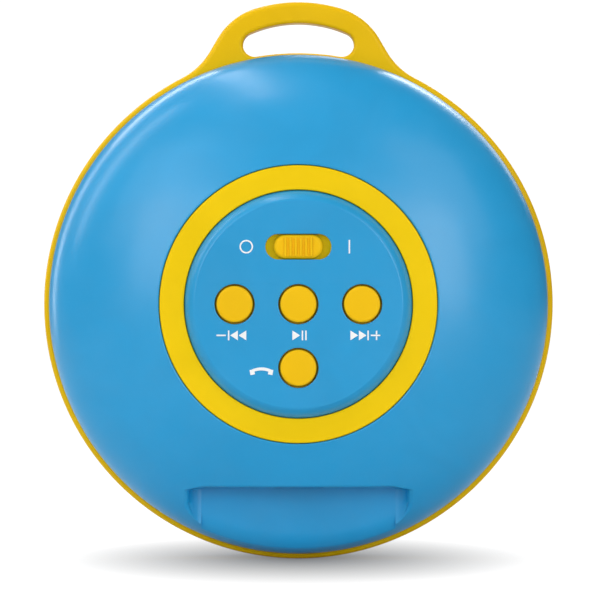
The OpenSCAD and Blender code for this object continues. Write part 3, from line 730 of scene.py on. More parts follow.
@dataclass(frozen=True)
class Finish:
    """A surface: its colours, its sheen and the size of its detail."""

    name: str
    colour: tuple[float, float, float]
    worn: tuple[float, float, float]
    roughness: float = 0.3
    unevenness: float = 0.08
    metallic: float = 0.0
    coat: float = 0.0
    coat_roughness: float = 0.05
    specular: float = 0.5
    grain: float = 2500.0
    relief: float = 0.000004
    mottle: float = 0.06
    wear: float = 0.35
    wear_width: float = 0.00035
    film: float = 0.15
    threads: float = 0.0
    scatter: float = 0.0

    def build(self, effects: Effects) -> bpy.types.Material:
        """Make the material.

        Args:
            effects: the shared node groups.

        Returns:
            The material, with its colour, roughness and bump from the groups.
        """
        made = bpy.data.materials.new(self.name)
        made.use_nodes = True
        made.node_tree.nodes.clear()
        g = Graph(made.node_tree)
        grain = g.node("Group", {"node_tree": effects.grain}, Scale=self.grain)
        wear = g.node("Group", {"node_tree": effects.wear}, Width=self.wear_width)
        film = g.node("Group", {"node_tree": effects.film})
        base = ink(*self.colour)
        shade = tuple(c * (1 - self.mottle) for c in base[:3]) + (1.0,)
        lift = 0.01 * self.mottle
        light = tuple(min(1.0, c * (1 + self.mottle) + lift) for c in base[:3]) + (1.0,)
        colour = g.mix(grain.outputs["Flow"], shade, light)
        colour = g.mix(g.math("MULTIPLY", grain.outputs["Fleck"], self.mottle), colour, shade)
        rubbed = g.math("MULTIPLY", wear.outputs["Mask"], self.wear)
        colour = g.mix(rubbed, colour, ink(*self.worn))
        filmed = g.math("MULTIPLY", film.outputs["Film"], self.film * FILM_TINT)
        colour = g.mix(filmed, colour, PALE_FILM)
        height = grain.outputs["Height"]
        if self.threads:
            weave = g.node("Group", {"node_tree": effects.weave}, Threads=self.threads)
            # Paint shade into the gaps between the threads.
            colour = g.mix(weave.outputs["Gap"], colour, PAINTED_GAP_SHADE)
            under = g.math("MULTIPLY", height, SKIN_UNDER_WEAVE)
            height = g.math("ADD", under, weave.outputs["Height"])
        rough = g.math("MULTIPLY", grain.outputs["Height"], self.unevenness)
        rough = g.math("ADD", rough, self.roughness - self.unevenness / 2)
        dulled = g.math("MULTIPLY", film.outputs["Film"], self.film * FILM_DULLING)
        rough = g.math("ADD", rough, dulled)
        dulled = g.math("MULTIPLY", wear.outputs["Mask"], self.wear * WEAR_DULLING)
        rough = g.math("ADD", rough, dulled, True)
        bump = g.node("Bump", Height=height, Distance=self.relief, Strength=1.0)
        skin = g.node(
            "BsdfPrincipled", Base_Color=colour, Roughness=rough, Metallic=self.metallic,
            Coat_Weight=self.coat, Coat_Roughness=self.coat_roughness,
            Specular_IOR_Level=self.specular, Normal=bump.outputs["Normal"],
        )
        if self.scatter:
            skin.inputs["Subsurface Weight"].default_value = self.scatter
            skin.inputs["Subsurface Radius"].default_value = SCATTER_COLOURS
            skin.inputs["Subsurface Scale"].default_value = SCATTER_DEPTH
        g.node("OutputMaterial", Surface=skin.outputs["BSDF"])
        return made


SHELL_BLUE = (18, 154, 211)
RIM_YELLOW = (235, 188, 0)

FINISHES = {
    "blue_shell": Finish(
        "glossy blue moulding", SHELL_BLUE, (90, 186, 228), roughness=0.3, unevenness=0.05,
        coat=0.1, coat_roughness=0.15, relief=0.0000012, mottle=0.035, wear=0.12, film=0.08,
    ),
    "blue_grille": Finish(
        "blue grille moulding", (22, 140, 198), (96, 186, 224), roughness=0.38, coat=0.1, film=0.1,
        mottle=0.05,
    ),
    "yellow_band": Finish(
        "satin yellow rim", RIM_YELLOW, (244, 202, 30), roughness=0.34, unevenness=0.06,
        specular=0.14, relief=0.0000018, mottle=0.045, wear=0.2, film=0.03,
    ),
    "yellow_trim": Finish(
        "satin yellow trim", (245, 205, 4), (250, 214, 40), roughness=0.42, unevenness=0.06,
        specular=0.1, relief=0.0000018, mottle=0.03, wear=0.1, film=0.02,
    ),
    "yellow_key": Finish(
        "fine satin key moulding", (245, 194, 4), (250, 208, 40), roughness=0.46, unevenness=0.08,
        specular=0.14, grain=3200.0, relief=0.000003, mottle=0.03, wear=0.25, wear_width=0.0002,
        film=0.02,
    ),
    "white_ink": Finish(
        "white printed ink", (246, 247, 247), (206, 226, 236), roughness=0.5, grain=6000.0,
        relief=0.000003, mottle=0.02, wear=0.1, wear_width=0.00005, film=0.0,
    ),
    "blue_rubber": Finish(
        "soft blue silicone", (24, 132, 190), (70, 164, 208), roughness=0.6, unevenness=0.12,
        relief=0.000005, scatter=0.15, film=0.3,
    ),
    "grey_rubber": Finish(
        "soft grey silicone", (70, 74, 78), (104, 108, 112), roughness=0.62, relief=0.000006,
        scatter=0.1,
    ),
    "black_rubber": Finish(
        "rolled black rubber", (24, 24, 26), (60, 60, 62), roughness=0.5, relief=0.000006, film=0.3,
    ),
    "foam": Finish(
        "closed-cell foam", (42, 42, 45), (70, 70, 74), roughness=0.85, grain=1400.0,
        relief=0.00006, mottle=0.2,
    ),
    "steel": Finish(
        "zinc-plated steel", (190, 192, 196), (228, 228, 230), roughness=0.3, metallic=1.0,
        mottle=0.08,
    ),
    "plated_steel": Finish(
        "pressed plated steel", (162, 164, 168), (210, 210, 214), roughness=0.36, metallic=1.0,
        mottle=0.1,
    ),
    "ferrite": Finish(
        "sintered ferrite", (44, 44, 48), (92, 92, 98), roughness=0.55, grain=1800.0,
        relief=0.00001, mottle=0.15,
    ),
    "black_plastic": Finish(
        "black moulding", (28, 28, 30), (64, 64, 68), roughness=0.42, relief=0.000004,
    ),
    "capacitor_can": Finish(
        "sleeved can", (60, 62, 72), (170, 172, 178), roughness=0.3, coat=0.3, mottle=0.1, wear=0.5,
    ),
    "white_plastic": Finish(
        "moulded nylon", (232, 230, 220), (246, 246, 240), roughness=0.4, scatter=0.1,
    ),
    "circuit_board": Finish(
        "green solder mask", (14, 86, 46), (176, 132, 70), roughness=0.26, coat=0.4, grain=900.0,
        mottle=0.3,
    ),
    "battery_foil": Finish(
        "laminated pouch", (172, 174, 180), (214, 214, 218), roughness=0.34, metallic=0.85,
        grain=700.0, relief=0.00003, mottle=0.1,
    ),
    "paper_cone": Finish(
        "pressed pulp", (36, 36, 38), (66, 66, 68), roughness=0.8, grain=1500.0, relief=0.00003,
        mottle=0.25,
    ),
    "copper": Finish(
        "enamelled winding", (190, 104, 52), (222, 150, 96), roughness=0.28, metallic=0.9,
    ),
    "treated_cloth": Finish(
        "resin-treated cotton", (190, 144, 78), (214, 176, 118), roughness=0.75, threads=5200.0,
        relief=0.00008,
    ),
    "brass_tags": Finish(
        "tinned tags", (204, 170, 98), (226, 206, 160), roughness=0.35, metallic=0.9,
    ),
    "black_cloth": Finish(
        "fine acoustic mesh", (26, 26, 28), (60, 60, 62), roughness=0.85, threads=6000.0,
        relief=0.00008,
    ),
    "red_wire": Finish(
        "red insulation", (190, 30, 26), (220, 90, 84), roughness=0.45, relief=0.000004,
    ),
    "black_wire": Finish(
        "black insulation", (26, 26, 28), (70, 70, 72), roughness=0.45, relief=0.000004,
    ),
}


@dataclass
class Workshop:
    """Holds the materials and puts finished pieces on the frame."""

    materials: dict[str, bpy.types.Material] = field(default_factory=dict)
    replaced: set[str] = field(default_factory=set)

    def open(self) -> None:
        """Make every finish."""
        effects = Effects()
        self.materials = {slot: finish.build(effects) for slot, finish in FINISHES.items()}

    def fit(
        self, piece: Piece, slot: str, nodes: Sequence[str], body: str = HOUSING,
        shaded: bool = False,
    ) -> None:
        """Dress a piece and put it in the place of its CAD nodes.

        Args:
            piece: the new object.
            slot: the record's material slot.
            nodes: the CAD nodes that it stands for.
            body: the CAD body that it moves with.
            shaded: True if the piece already has its own normals.
        """
        if not shaded:
            smooth(piece)
        self.paint(piece, slot)
        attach(piece, body)
        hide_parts(*nodes)
        self.replaced.update(nodes)
        log.info("%s: %d faces, on %s", piece.name, len(piece.data.polygons), body)

    def paint(self, piece: Piece, slot: str) -> None:
        """Give a piece the material of a slot and no other."""
        piece.data.materials.clear()
        piece.data.materials.append(self.materials[slot])

    def dress_frame(self) -> None:
        """Give each CAD node that still shows the material of its slot."""
        for part in frame["record"]["subparts"]:
            if part["node"] in self.replaced:
                continue
            self.paint(frame["nodes"][part["node"]], part["material_slot"])
            log.info("%s: dressed as %s", part["node"], part["material_slot"])


# ---------------------------------------------------------------- sub-assemblies


@dataclass
class SubAssembly:
    """A group of pieces that are built and fitted together."""

    shop: Workshop

    def build(self) -> None:
        """Build the pieces and fit them."""
        raise NotImplementedError


@dataclass
class Casing(SubAssembly):
    """One of the two domed halves of the body."""

    wall: float = 2.2
    recess_edge: float = 0.3
    bridge: float = 2.0
    spigot_inset: float = 3.1
    spigot_wall: float = 1.8
    spigot_end: float = 0.45

    def turn(
        self, name: str, side: Side, dome: Dome, recess: float, seats: list[Point], ceiling: float
    ) -> Piece:
        """Turn a casing with its recess, inner face and spigot.

        Args:
            name: the piece's name.
            side: the side that it points to.
            dome: its outer face.
            recess: radius of the recess in its middle.
            seats: the line from the recess's wall to the inner face, as (r, z) pairs.
            ceiling: height above which the seats take the place of the inner face.

        Returns:
            The solid.
        """
        edge = self.recess_edge
        outer = dome.curve(recess + edge, 72)
        crest = outer[-1][1]
        for i in range(1, 6):
            a = math.radians(18 * i)
            outer.append((recess + edge * (1 - math.sin(a)), crest - edge * (1 - math.cos(a))))
        bridge, spigot = dome.foot + self.bridge, dome.radius - self.spigot_inset
        under = reversed(dome.under(self.wall).curve(seats[-1][0], 30))
        inner = [p for p in under if bridge < p[1] < ceiling]
        back, end = spigot - self.spigot_wall, self.spigot_end
        foot = [(back, bridge), (back, end), (spigot, end), (spigot, dome.foot)]
        return lathe(name, outer + seats + inner + foot, side, FINE_TURN)


@dataclass
class RearCasing(Casing):
    """The blue dome on the control side, with the port bay cut into its foot."""

    rise: float = 19.0
    squareness: float = 2.2
    panel_clearance: float = 3.85
    ledge_depth: float = 1.5
    bay_half_width: float = 17.8
    bay_reach: float = 13.7
    bay_flare: float = 0.48
    bay_runout: float = 2.0
    bay_corner: float = 0.4
    cove: float = 2.6
    ceiling_cove: float = 0.3
    lip: float = 0.9
    nail_notch: float = 0.35
    sill: float = 4.5
    bay_end: float = -52.0
    lining_foot: float = 1.0
    tool_reach: float = 60.0
    tool_top: float = 24.0
    pocket_depth: float = 1.15
    pocket_corner: float = 0.45
    mouth_length: float = 7.8
    mouth_width: float = 2.9

    def __post_init__(self) -> None:
        """Read the places of the neighbouring pieces from the frame."""
        rim = Span.of("rim_band")
        self.dome = Dome(Span.of("rear_shell").radius, self.rise, self.squareness, rim.high.z)
        self.recess = Span.of("trim_ring").radius + FIT
        self.ledge = Span.of("panel_seal").low.z
        self.ceiling = self.bay_reach - rim.radius
        self.floor = self.dome.at(self.dome.radius - self.bay_runout)

    def build(self) -> None:
        """Build the casing and fit it."""
        casing = self._shell()
        carve(casing, self._bay_lining(), Carving.JOIN)
        hollow = self._bay_walls()
        carve(hollow, self._above_floor(), Carving.CROSS)
        carve(casing, hollow)
        carve(casing, self._port_pocket())
        self.dome.shade(casing, Side.CONTROL)
        self.shop.fit(casing, "blue_shell", ["rear_shell"], shaded=True)

    def _shell(self) -> Piece:
        """Turn the dome with the ledge that its panel sits on.

        Returns:
            The solid.
        """
        hole = Span.of("control_panel").radius - self.panel_clearance
        ledge, under = self.ledge, self.ledge - self.ledge_depth
        foot = self.recess + self.wall
        seats = [(self.recess, ledge), (hole, ledge), (hole, under), (foot, under)]
        return self.turn("rear_casing", Side.CONTROL, self.dome, self.recess, seats, math.inf)

    def _bay_lining(self) -> Piece:
        """Build the walls round the bay, inside the casing.

        Returns:
            The solid, which fills the bay until that is cut.
        """
        skin, foot = self.wall, self.lining_foot
        under = self.dome.under(skin / 2)
        core = [(0.0, foot), (under.radius, foot)] + under.curve(self.recess + 2, 30)
        core.append((0.0, core[-1][1]))
        lining = lathe("bay_lining", core, steps=96)
        low, top = self.floor - skin, self.tool_top
        half = self.bay_half_width + skin
        wide = half + self.bay_flare * (top - low)
        section = ((-half, low), (half, low), (wide, top), (-wide, top))
        corners = [(x, y, z) for y in (-self.tool_reach, self.ceiling + skin) for x, z in section]
        faces = [(0, 1, 2, 3), (4, 5, 6, 7), (0, 1, 5, 4), (1, 2, 6, 5), (2, 3, 7, 6), (3, 0, 4, 7)]
        block = finish_mesh("bay_block", [Side.CONTROL.place(*c) for c in corners], faces)
        carve(lining, block, Carving.CROSS)
        return lining

    def _bay_path(self) -> list[tuple[Point, Point]]:
        """Walk round the bay's outline at its floor.

        Returns:
            Pairs of a place and the direction that leads out of the bay there.
        """
        x, corner, end = self.bay_half_width, self.bay_corner, self.bay_end
        top, parts, bends, spans = self.ceiling - corner, 28, 9, 40
        left = [((-x, end + (top - end) * i / parts), (-1.0, 0.0)) for i in range(parts)]
        turn = [
            ((-x + corner + corner * c, top + corner * s), (c, s))
            for c, s in arc((0.0, 0.0), 1.0, 180, 90, bends)
        ]
        across = [
            ((-x + corner + 2 * (x - corner) * i / spans, self.ceiling), (0.0, 1.0))
            for i in range(1, spans)
        ]
        half = left + turn
        right = [((-p[0], p[1]), (-n[0], n[1])) for p, n in reversed(half)]
        return half + across + right

    def _bay_walls(self) -> Piece:
        """Build the solid that cuts the bay, with a rounded lip where it meets the dome.

        Returns:
            The solid.
        """
        rows: list[list[Vector]] = []
        for (x, y), (nx, ny) in self._bay_path():
            cove = self.ceiling_cove + (self.cove - self.ceiling_cove) * nx * nx
            rise = ny * self.ceiling_cove / cove
            section = self._wall_section(x, y, nx, rise, cove)
            rows.append([Side.CONTROL.place(x + nx * o, y + rise * o, z) for o, z in section])
        width = len(rows[0])
        points = [p for row in rows for p in row]
        faces: list[tuple[int, ...]] = []
        for i in range(len(rows) - 1):
            for k in range(width - 1):
                a, b = i * width + k, (i + 1) * width + k
                faces.append((a, b, b + 1, a + 1))
        last = (len(rows) - 1) * width
        for edge in (0, width - 1):
            faces.append(tuple(i * width + edge for i in range(len(rows))))
        faces.append(tuple(range(width)) + tuple(last + k for k in reversed(range(width))))
        return finish_mesh("bay_walls", points, faces)

    def _wall_section(self, x: float, y: float, nx: float, ny: float, cove: float) -> list[Point]:
        """Draw the bay's wall in a section across its outline: a cove, a face and a round lip.

        Args:
            x: place on the outline.
            y: place on the outline.
            nx: direction out of the bay.
            ny: direction out of the bay.
            cove: radius of the hollow curve that leads from the floor into the wall.

        Returns:
            Pairs of outward offset and height, upwards.
        """
        low, top, steps, first = 5.0, 27.0, 9, math.radians(8)
        probe, steepest, least, nudge = 0.4, 2.0, 0.02, 0.001

        def dome_at(offset: float) -> float:
            """Return the height of the dome at an offset from the outline."""
            r = math.hypot(x + nx * offset, y + ny * offset)
            return self.dome.at(r) if r < self.dome.radius else self.dome.foot

        def wall_at(z: float) -> float:
            """Return the offset of the cove at a height."""
            rest = cove - max(0.0, min(cove, z - self.floor))
            return math.sqrt(cove * cove - rest * rest)

        meet = self.floor
        for _ in range(40):
            meet = 0.5 * meet + 0.5 * dome_at(wall_at(meet))
        meet = max(meet, self.floor + 0.1)
        radius = max(least, min(self.lip, 0.42 * (meet - self.floor)))
        offset = wall_at(meet)
        slope = (dome_at(offset + probe) - dome_at(offset)) / probe
        down = Vector((-max(0.0, self.floor + cove - meet), -offset)).normalized()
        along = Vector((1.0, max(-steepest, min(steepest, slope)))).normalized()
        lip = round_corner(Vector((offset, meet)), down, along, radius, steps)
        rise = max(least, lip[0][1] - self.floor)
        last = max(first + 0.01, math.acos(max(0.0, 1 - rise / cove)))
        line = [(cove * math.sin(first), low)]
        for i in range(steps):
            a = first + (last - first) * i / steps
            line.append((cove * math.sin(a), self.floor + cove * (1 - math.cos(a))))
        settle = dome_at(lip[-1][0]) - lip[-1][1] if radius > 0.1 else 0.0
        line += [(o, z + settle * (i / steps) ** 2) for i, (o, z) in enumerate(lip)]
        return line + [(line[-1][0] + nudge, top)]

    def _above_floor(self) -> Piece:
        """Build the room above the bay's floor, which rolls over into the dome outside.

        Returns:
            The solid.
        """
        r, past, top = self.dome.radius - self.bay_runout, 12.0, 40.0
        drop = self.floor + self.dome.slope(r) * past
        corners = [(0.0, self.floor, 0.0), (r, self.floor, self.sill), (r + past, drop, 0.0)]
        line = fillet(corners, 8) + [(r + past, top), (0.0, top)]
        return lathe("above_floor", line, steps=FINE_TURN)

    def _port_pocket(self) -> Piece:
        """Build the recess in the bay's ceiling that takes the port cover and its socket.

        Returns:
            The solid to cut away.
        """
        cover, socket = Span.of("port_cover"), Span.of("usb_socket")
        length = 2 * (cover.size.x / 2 + FIT)
        low, high = self.floor + 0.3, cover.high.z + 2 * FIT
        corner, notch = 0.4, 16.0

        def place(u: float, v: float, w: float) -> Vector:
            """Stand a slab on the bay's ceiling."""
            return Side.CONTROL.place(u, self.ceiling + w, v)

        box = round_box(length, high - low, self.pocket_corner, (0.0, (low + high) / 2))
        pocket = slab("port_pocket", [Contour(box, [(0.0, self.pocket_depth), (0.0, -3.0)])], place)
        box = round_box(self.mouth_length, self.mouth_width, corner, (0.0, socket.centre.z))
        mouth = slab("socket_mouth", [Contour(box, [(0.0, self.wall + 1.0), (0.0, 0.5)])], place)
        carve(pocket, mouth, Carving.JOIN)
        box = round_box(length, notch, corner, (0.0, high + notch / 2 - 1.0))
        nail = slab("nail_notch", [Contour(box, [(0.0, self.nail_notch), (0.0, -2.0)])], place)
        carve(pocket, nail, Carving.JOIN)
        return pocket


@dataclass
class RimAndLoop(SubAssembly):
    """The yellow rim between the casings and the loop that it hangs by."""

    crown: float = 28.0
    shoulder: float = 12.5
    shoulder_inset: float = 6.05
    lean: float = 30.5
    root: float = 13.0
    opening_half: float = 10.5
    opening_corner: float = 2.3
    strap: float = 4.0
    sink: float = 0.65
    radius: float = 48.0
    hole: float = 44.0
    edge: float = 0.95
    opening_edge: float = 0.7
    hidden_edge: float = 0.1

    def build(self) -> None:
        """Build the rim with its loop and fit it."""
        span = Span.of("rim_band")
        self.top = span.high.y
        self.half = span.high.z
        outer, inner, hidden = (
            rounded_wall(self.half, -self.half, edge, steps)
            for edge, steps in ((self.edge, 5), (self.opening_edge, 5), (self.hidden_edge, 1))
        )
        contours = [
            Contour(self._outline(), outer),
            Contour(self._opening(), inner, hole=True),
            Contour(circle(self.hole, 144), hidden, hole=True),
        ]
        self.shop.fit(slab("rim_and_loop", contours), "yellow_band", ["rim_band"])

    def _outline(self) -> list[Point]:
        """Draw the outside: crown, shoulders, roots and the round rim.

        Returns:
            The outline.
        """
        crown_y = self.top - self.crown
        x = self.opening_half - self.shoulder_inset
        y = crown_y + math.sqrt((self.crown - self.shoulder) ** 2 - x * x)
        lean = math.radians(self.lean)
        normal = Vector((math.cos(lean), math.sin(lean)))
        along = Vector((math.sin(lean), -math.cos(lean)))
        reach = Vector((x, y)).dot(normal) + self.shoulder + self.root
        root = normal * reach - along * math.sqrt((self.radius + self.root) ** 2 - reach * reach)
        crown_end = math.degrees(math.atan2(y - crown_y, x))
        root_end = math.degrees(math.atan2(root.y, root.x))
        return mirrored(
            arc((0.0, crown_y), self.crown, 90, crown_end, 14)
            + arc((x, y), self.shoulder, crown_end, self.lean, 18)[1:]
            + arc((root.x, root.y), self.root, 180 + self.lean, 180 + root_end, 18)
            + arc((0.0, 0.0), self.radius, root_end, -90, 150)[1:]
        )

    def _opening(self) -> list[Point]:
        """Draw the opening that a hook goes through.

        Returns:
            The outline.
        """
        hang = self.top - self.strap
        seat = self.radius - self.sink
        corner = self.opening_corner
        x = self.opening_half - corner
        y = math.sqrt((seat + corner) ** 2 - x * x)
        drop = y - hang
        lintel = (corner**2 - x**2 - drop**2) / (2 * (corner + drop))
        seat_end = math.degrees(math.atan2(y, x))
        lintel_end = math.degrees(math.atan2(y - hang + lintel, x))
        return mirrored(
            arc((0.0, hang - lintel), lintel, 90, lintel_end, 16)
            + arc((x, y), corner, lintel_end, seat_end - 180, 16)[1:]
            + arc((0.0, 0.0), seat, seat_end, 90, 12)[1:]
        )


@dataclass
class FrontCasing(Casing):
    """The blue casing on the grille side, its ring, its grille and the cloth behind."""

    rise: float = 22.0
    squareness: float = 3.0
    ledge_width: float = 2.0
    ledge_depth: float = 1.6
    baffle: float = 2.0
    baffle_hole: float = 23.7
    ring_edge: float = 0.45
    ring_inner_edge: float = 0.7
    hole: float = 0.78
    pitch: float = 2.35
    margin: float = 1.3
    cloth_edge: float = 0.05

    def build(self) -> None:
        """Build the four pieces and fit them."""
        ring = Span.of("front_ring")
        self.face, self.floor = ring.front[0], Span.of("grille").front[1]
        self.outer = ring.radius
        self.inner = Span.of("grille").radius + 2 * FIT
        self._shell()
        profile = fillet(
            [
                (self.outer, self.floor, 0.0), (self.outer, self.face, self.ring_edge),
                (self.inner, self.face, self.ring_inner_edge), (self.inner, self.floor, 0.0),
            ]
        )
        trim = lathe("front_trim", profile, Side.GRILLE, 160)
        self.shop.fit(trim, "yellow_trim", ["front_ring"])
        self._grille()
        self._cloth()

    def _shell(self) -> None:
        """Turn the casing with the recess for its ring and the baffle behind."""
        width, foot = Span.of("front_shell").radius, Span.of("rim_band").high.z
        dome = Dome(width, self.rise, self.squareness, foot)
        recess, ledge = self.outer + FIT, self.inner - self.ledge_width
        front = self.floor - self.ledge_depth
        back = front - self.baffle
        seats = [
            (recess, self.floor), (ledge, self.floor), (ledge, front), (self.baffle_hole, front),
            (self.baffle_hole, back), (recess - self.wall, back),
        ]
        casing = self.turn("front_casing", Side.GRILLE, dome, recess, seats, back - 0.2)
        dome.shade(casing, Side.GRILLE)
        self.shop.fit(casing, "blue_shell", ["front_shell"], shaded=True)

    def _grille(self) -> None:
        """Build the disc and its rows of fine holes."""
        grille = Span.of("grille")
        face, back = grille.front
        rim = rounded_rim(face, 0.2, steps=3) + [(0.0, back)]
        contours = [Contour(circle(grille.radius, 128), rim)]
        wall = rounded_rim(face, 0.14, steps=2) + [(0.0, back)]
        rows = int((self.inner - self.ledge_width - self.margin) / self.pitch)
        centres = [(0.0, 0.0)]
        for row in range(1, rows + 1):
            centres += arc((0.0, 0.0), row * self.pitch, 0, 360, 6 * row)[:-1]
        contours += [Contour(circle(self.hole, 12, centre), wall, hole=True) for centre in centres]
        disc = slab("grille_disc", contours, Side.GRILLE.place)
        self.shop.fit(disc, "blue_grille", ["grille"])

    def _cloth(self) -> None:
        """Build the acoustic cloth that is stretched behind the grille."""
        node = Span.of("grille_cloth")
        face, back = node.front
        edge, drop = -self.cloth_edge, 0.08
        stack = [(edge, face), (0.0, face - drop), (0.0, back + drop), (edge, back)]
        disc = Contour(circle(node.radius, 96), stack)
        cloth = slab("acoustic_cloth", [disc], Side.GRILLE.place)
        self.shop.fit(cloth, "black_cloth", ["grille_cloth"])


class Key(Enum):
    """The four keys, named as their CAD nodes are."""

    PREVIOUS = "previous"
    PLAY = "play"
    NEXT = "next"
    CALL = "call"

    @property
    def button(self) -> str:
        """The name of the key's CAD node."""
        return self.value + "_button"

    @property
    def span(self) -> Span:
        """The room that the key's CAD node takes."""
        return Span.of(self.button)


@dataclass
class ControlPanel(SubAssembly):
    """The raised disc with its ring, keys and power slider."""

    edge: float = 1.9
    edge_depth: float = 2.2
    edge_power: float = 1.4
    wall: float = 1.7
    face: float = 1.6
    flange: float = 4.35
    flange_height: float = 1.0
    ring_height: float = 1.6
    ring_edge: float = 0.3
    ring_inner_edge: float = 0.25
    hole_edge: float = 0.16
    key_gap: float = 0.35
    key_flange: float = 0.95
    key_flange_depth: float = 0.6
    key_edge: float = 0.4
    key_stem: float = 1.5
    crown: float = 0.88
    crown_drop: float = 0.07
    slot_length: float = 12.2
    slot_width: float = 4.7
    knob_lift: float = 0.08
    knob_edge: float = 0.75
    ribs: int = 6
    rib_pitch: float = 0.96
    rib_width: float = 0.5
    rib_inset: float = 0.45
    bed_edge: float = 0.1

    def build(self) -> None:
        """Build the panel's pieces and fit them."""
        panel = Span.of("control_panel")
        self.top = panel.high.z
        self.under = self.top - self.face
        self.radius = panel.radius - self.flange
        self.slot_y = Span.of("switch_knob").centre.y
        self._panel()
        self._ring()
        for key in Key:
            self._key(key)
        self._knob()
        self._bed()

    def _panel(self) -> None:
        """Build the disc with its rounded edge, its side wall and its openings."""
        base = Span.of("panel_seal").high.z
        seat, steps, power = base + self.flange_height, 14, 2 / self.edge_power
        stack = []
        for i in range(steps + 1):
            a = math.radians(90 * i / steps)
            inset, drop = 1 - math.sin(a) ** power, 1 - math.cos(a) ** power
            stack.append((-self.edge * inset, self.top - self.edge_depth * drop))
        stack += [(0.0, seat), (self.flange, seat), (self.flange, base)]
        stack += [(-self.wall, base), (-self.wall, self.under)]
        wall = rounded_rim(self.top, self.hole_edge, steps=3) + [(0.0, self.under)]
        contours = [Contour(circle(self.radius, FINE_TURN), stack)]
        for key in Key:
            opening = key.span.radius - self.key_flange + self.key_gap
            contours.append(Contour(circle(opening, 72, key.span.spot), wall, hole=True))
        slot = pill(self.slot_length, self.slot_width, (0.0, self.slot_y), 24)
        contours.append(Contour(slot, wall, hole=True))
        self.shop.fit(slab("panel_disc", contours), "blue_shell", ["control_panel"])

    def _ring(self) -> None:
        """Build the flat ring round the panel."""
        ring = Span.of("trim_ring")
        top, outer, inner = ring.high.z, ring.radius, self.radius + FIT
        low = top - self.ring_height
        profile = fillet(
            [
                (outer, low, 0.0), (outer, top, self.ring_edge),
                (inner, top, self.ring_inner_edge), (inner, low, 0.0),
            ]
        )
        self.shop.fit(lathe("trim_disc", profile, steps=FINE_TURN), "yellow_trim", ["trim_ring"])

    def _key(self, key: Key) -> None:
        """Build a key's slightly crowned cap with its flange and stem.

        Args:
            key: which key.
        """
        node, steps, stem = key.span, 5, self.key_stem
        cap, top, base = node.radius - self.key_flange, node.high.z, node.low.z
        flange = self.under - 0.3
        under, inner, drop = flange - self.key_flange_depth, cap * self.crown, self.crown_drop
        profile = [(inner * k / steps, top - drop * (k / steps) ** 2) for k in range(steps)]
        profile += fillet(
            [
                (inner, top - drop, 0.0), (cap, top - 0.11, self.key_edge), (cap, flange, 0.0),
                (node.radius, flange, 0.0), (node.radius, under, 0.0), (stem, under, 0.0),
                (stem, base, 0.0), (0.0, base, 0.0),
            ],
            6,
        )
        piece = lathe(key.value + "_cap", profile, steps=96, centre=node.spot)
        self.shop.fit(piece, "yellow_key", [key.button], key.value + "_key")

    def _knob(self) -> None:
        """Build the sliding knob with its ribs and stem."""
        node = Span.of("switch_knob")
        y, width, base = self.slot_y, node.size.y, self.under + self.knob_lift
        stack = rounded_rim(self.top - 0.05, self.knob_edge, steps=6) + [(0.0, base)]
        knob = slab("slider_knob", [Contour(pill(node.size.x, width, (0.0, y), 20), stack)])
        stack = rounded_rim(node.high.z, 0.2, steps=3) + [(0.0, self.top - 0.5)]
        for i in range(self.ribs):
            x = (i - (self.ribs - 1) / 2) * self.rib_pitch
            box = round_box(self.rib_width, width - 2 * self.rib_inset, 0.22, (x, y))
            carve(knob, slab("rib", [Contour(box, stack)]), Carving.JOIN)
        box = round_box(2.6, 2.0, 0.2, (0.0, y))
        stem = slab("stem", [Contour(box, [(0.0, base + 0.3), (0.0, node.low.z)])])
        carve(knob, stem, Carving.JOIN)
        self.shop.fit(knob, "yellow_key", ["switch_knob"], "power_slider")

    def _bed(self) -> None:
        """Build the bed that the knob slides over."""
        bed, edge = Span.of("switch_bed"), self.bed_edge
        top, low, middle = bed.high.z, bed.low.z, (0.0, self.slot_y)
        outline = pill(bed.size.x, bed.size.y, middle, 20)
        outer = Contour(outline, [(-edge, top), (0.0, top - edge), (0.0, low)])
        slot = Contour(round_box(5.9, 2.4, 0.3, middle), [(0.0, top), (0.0, low)], hole=True)
        self.shop.fit(slab("slider_bed", [outer, slot]), "yellow_trim", ["switch_bed"])


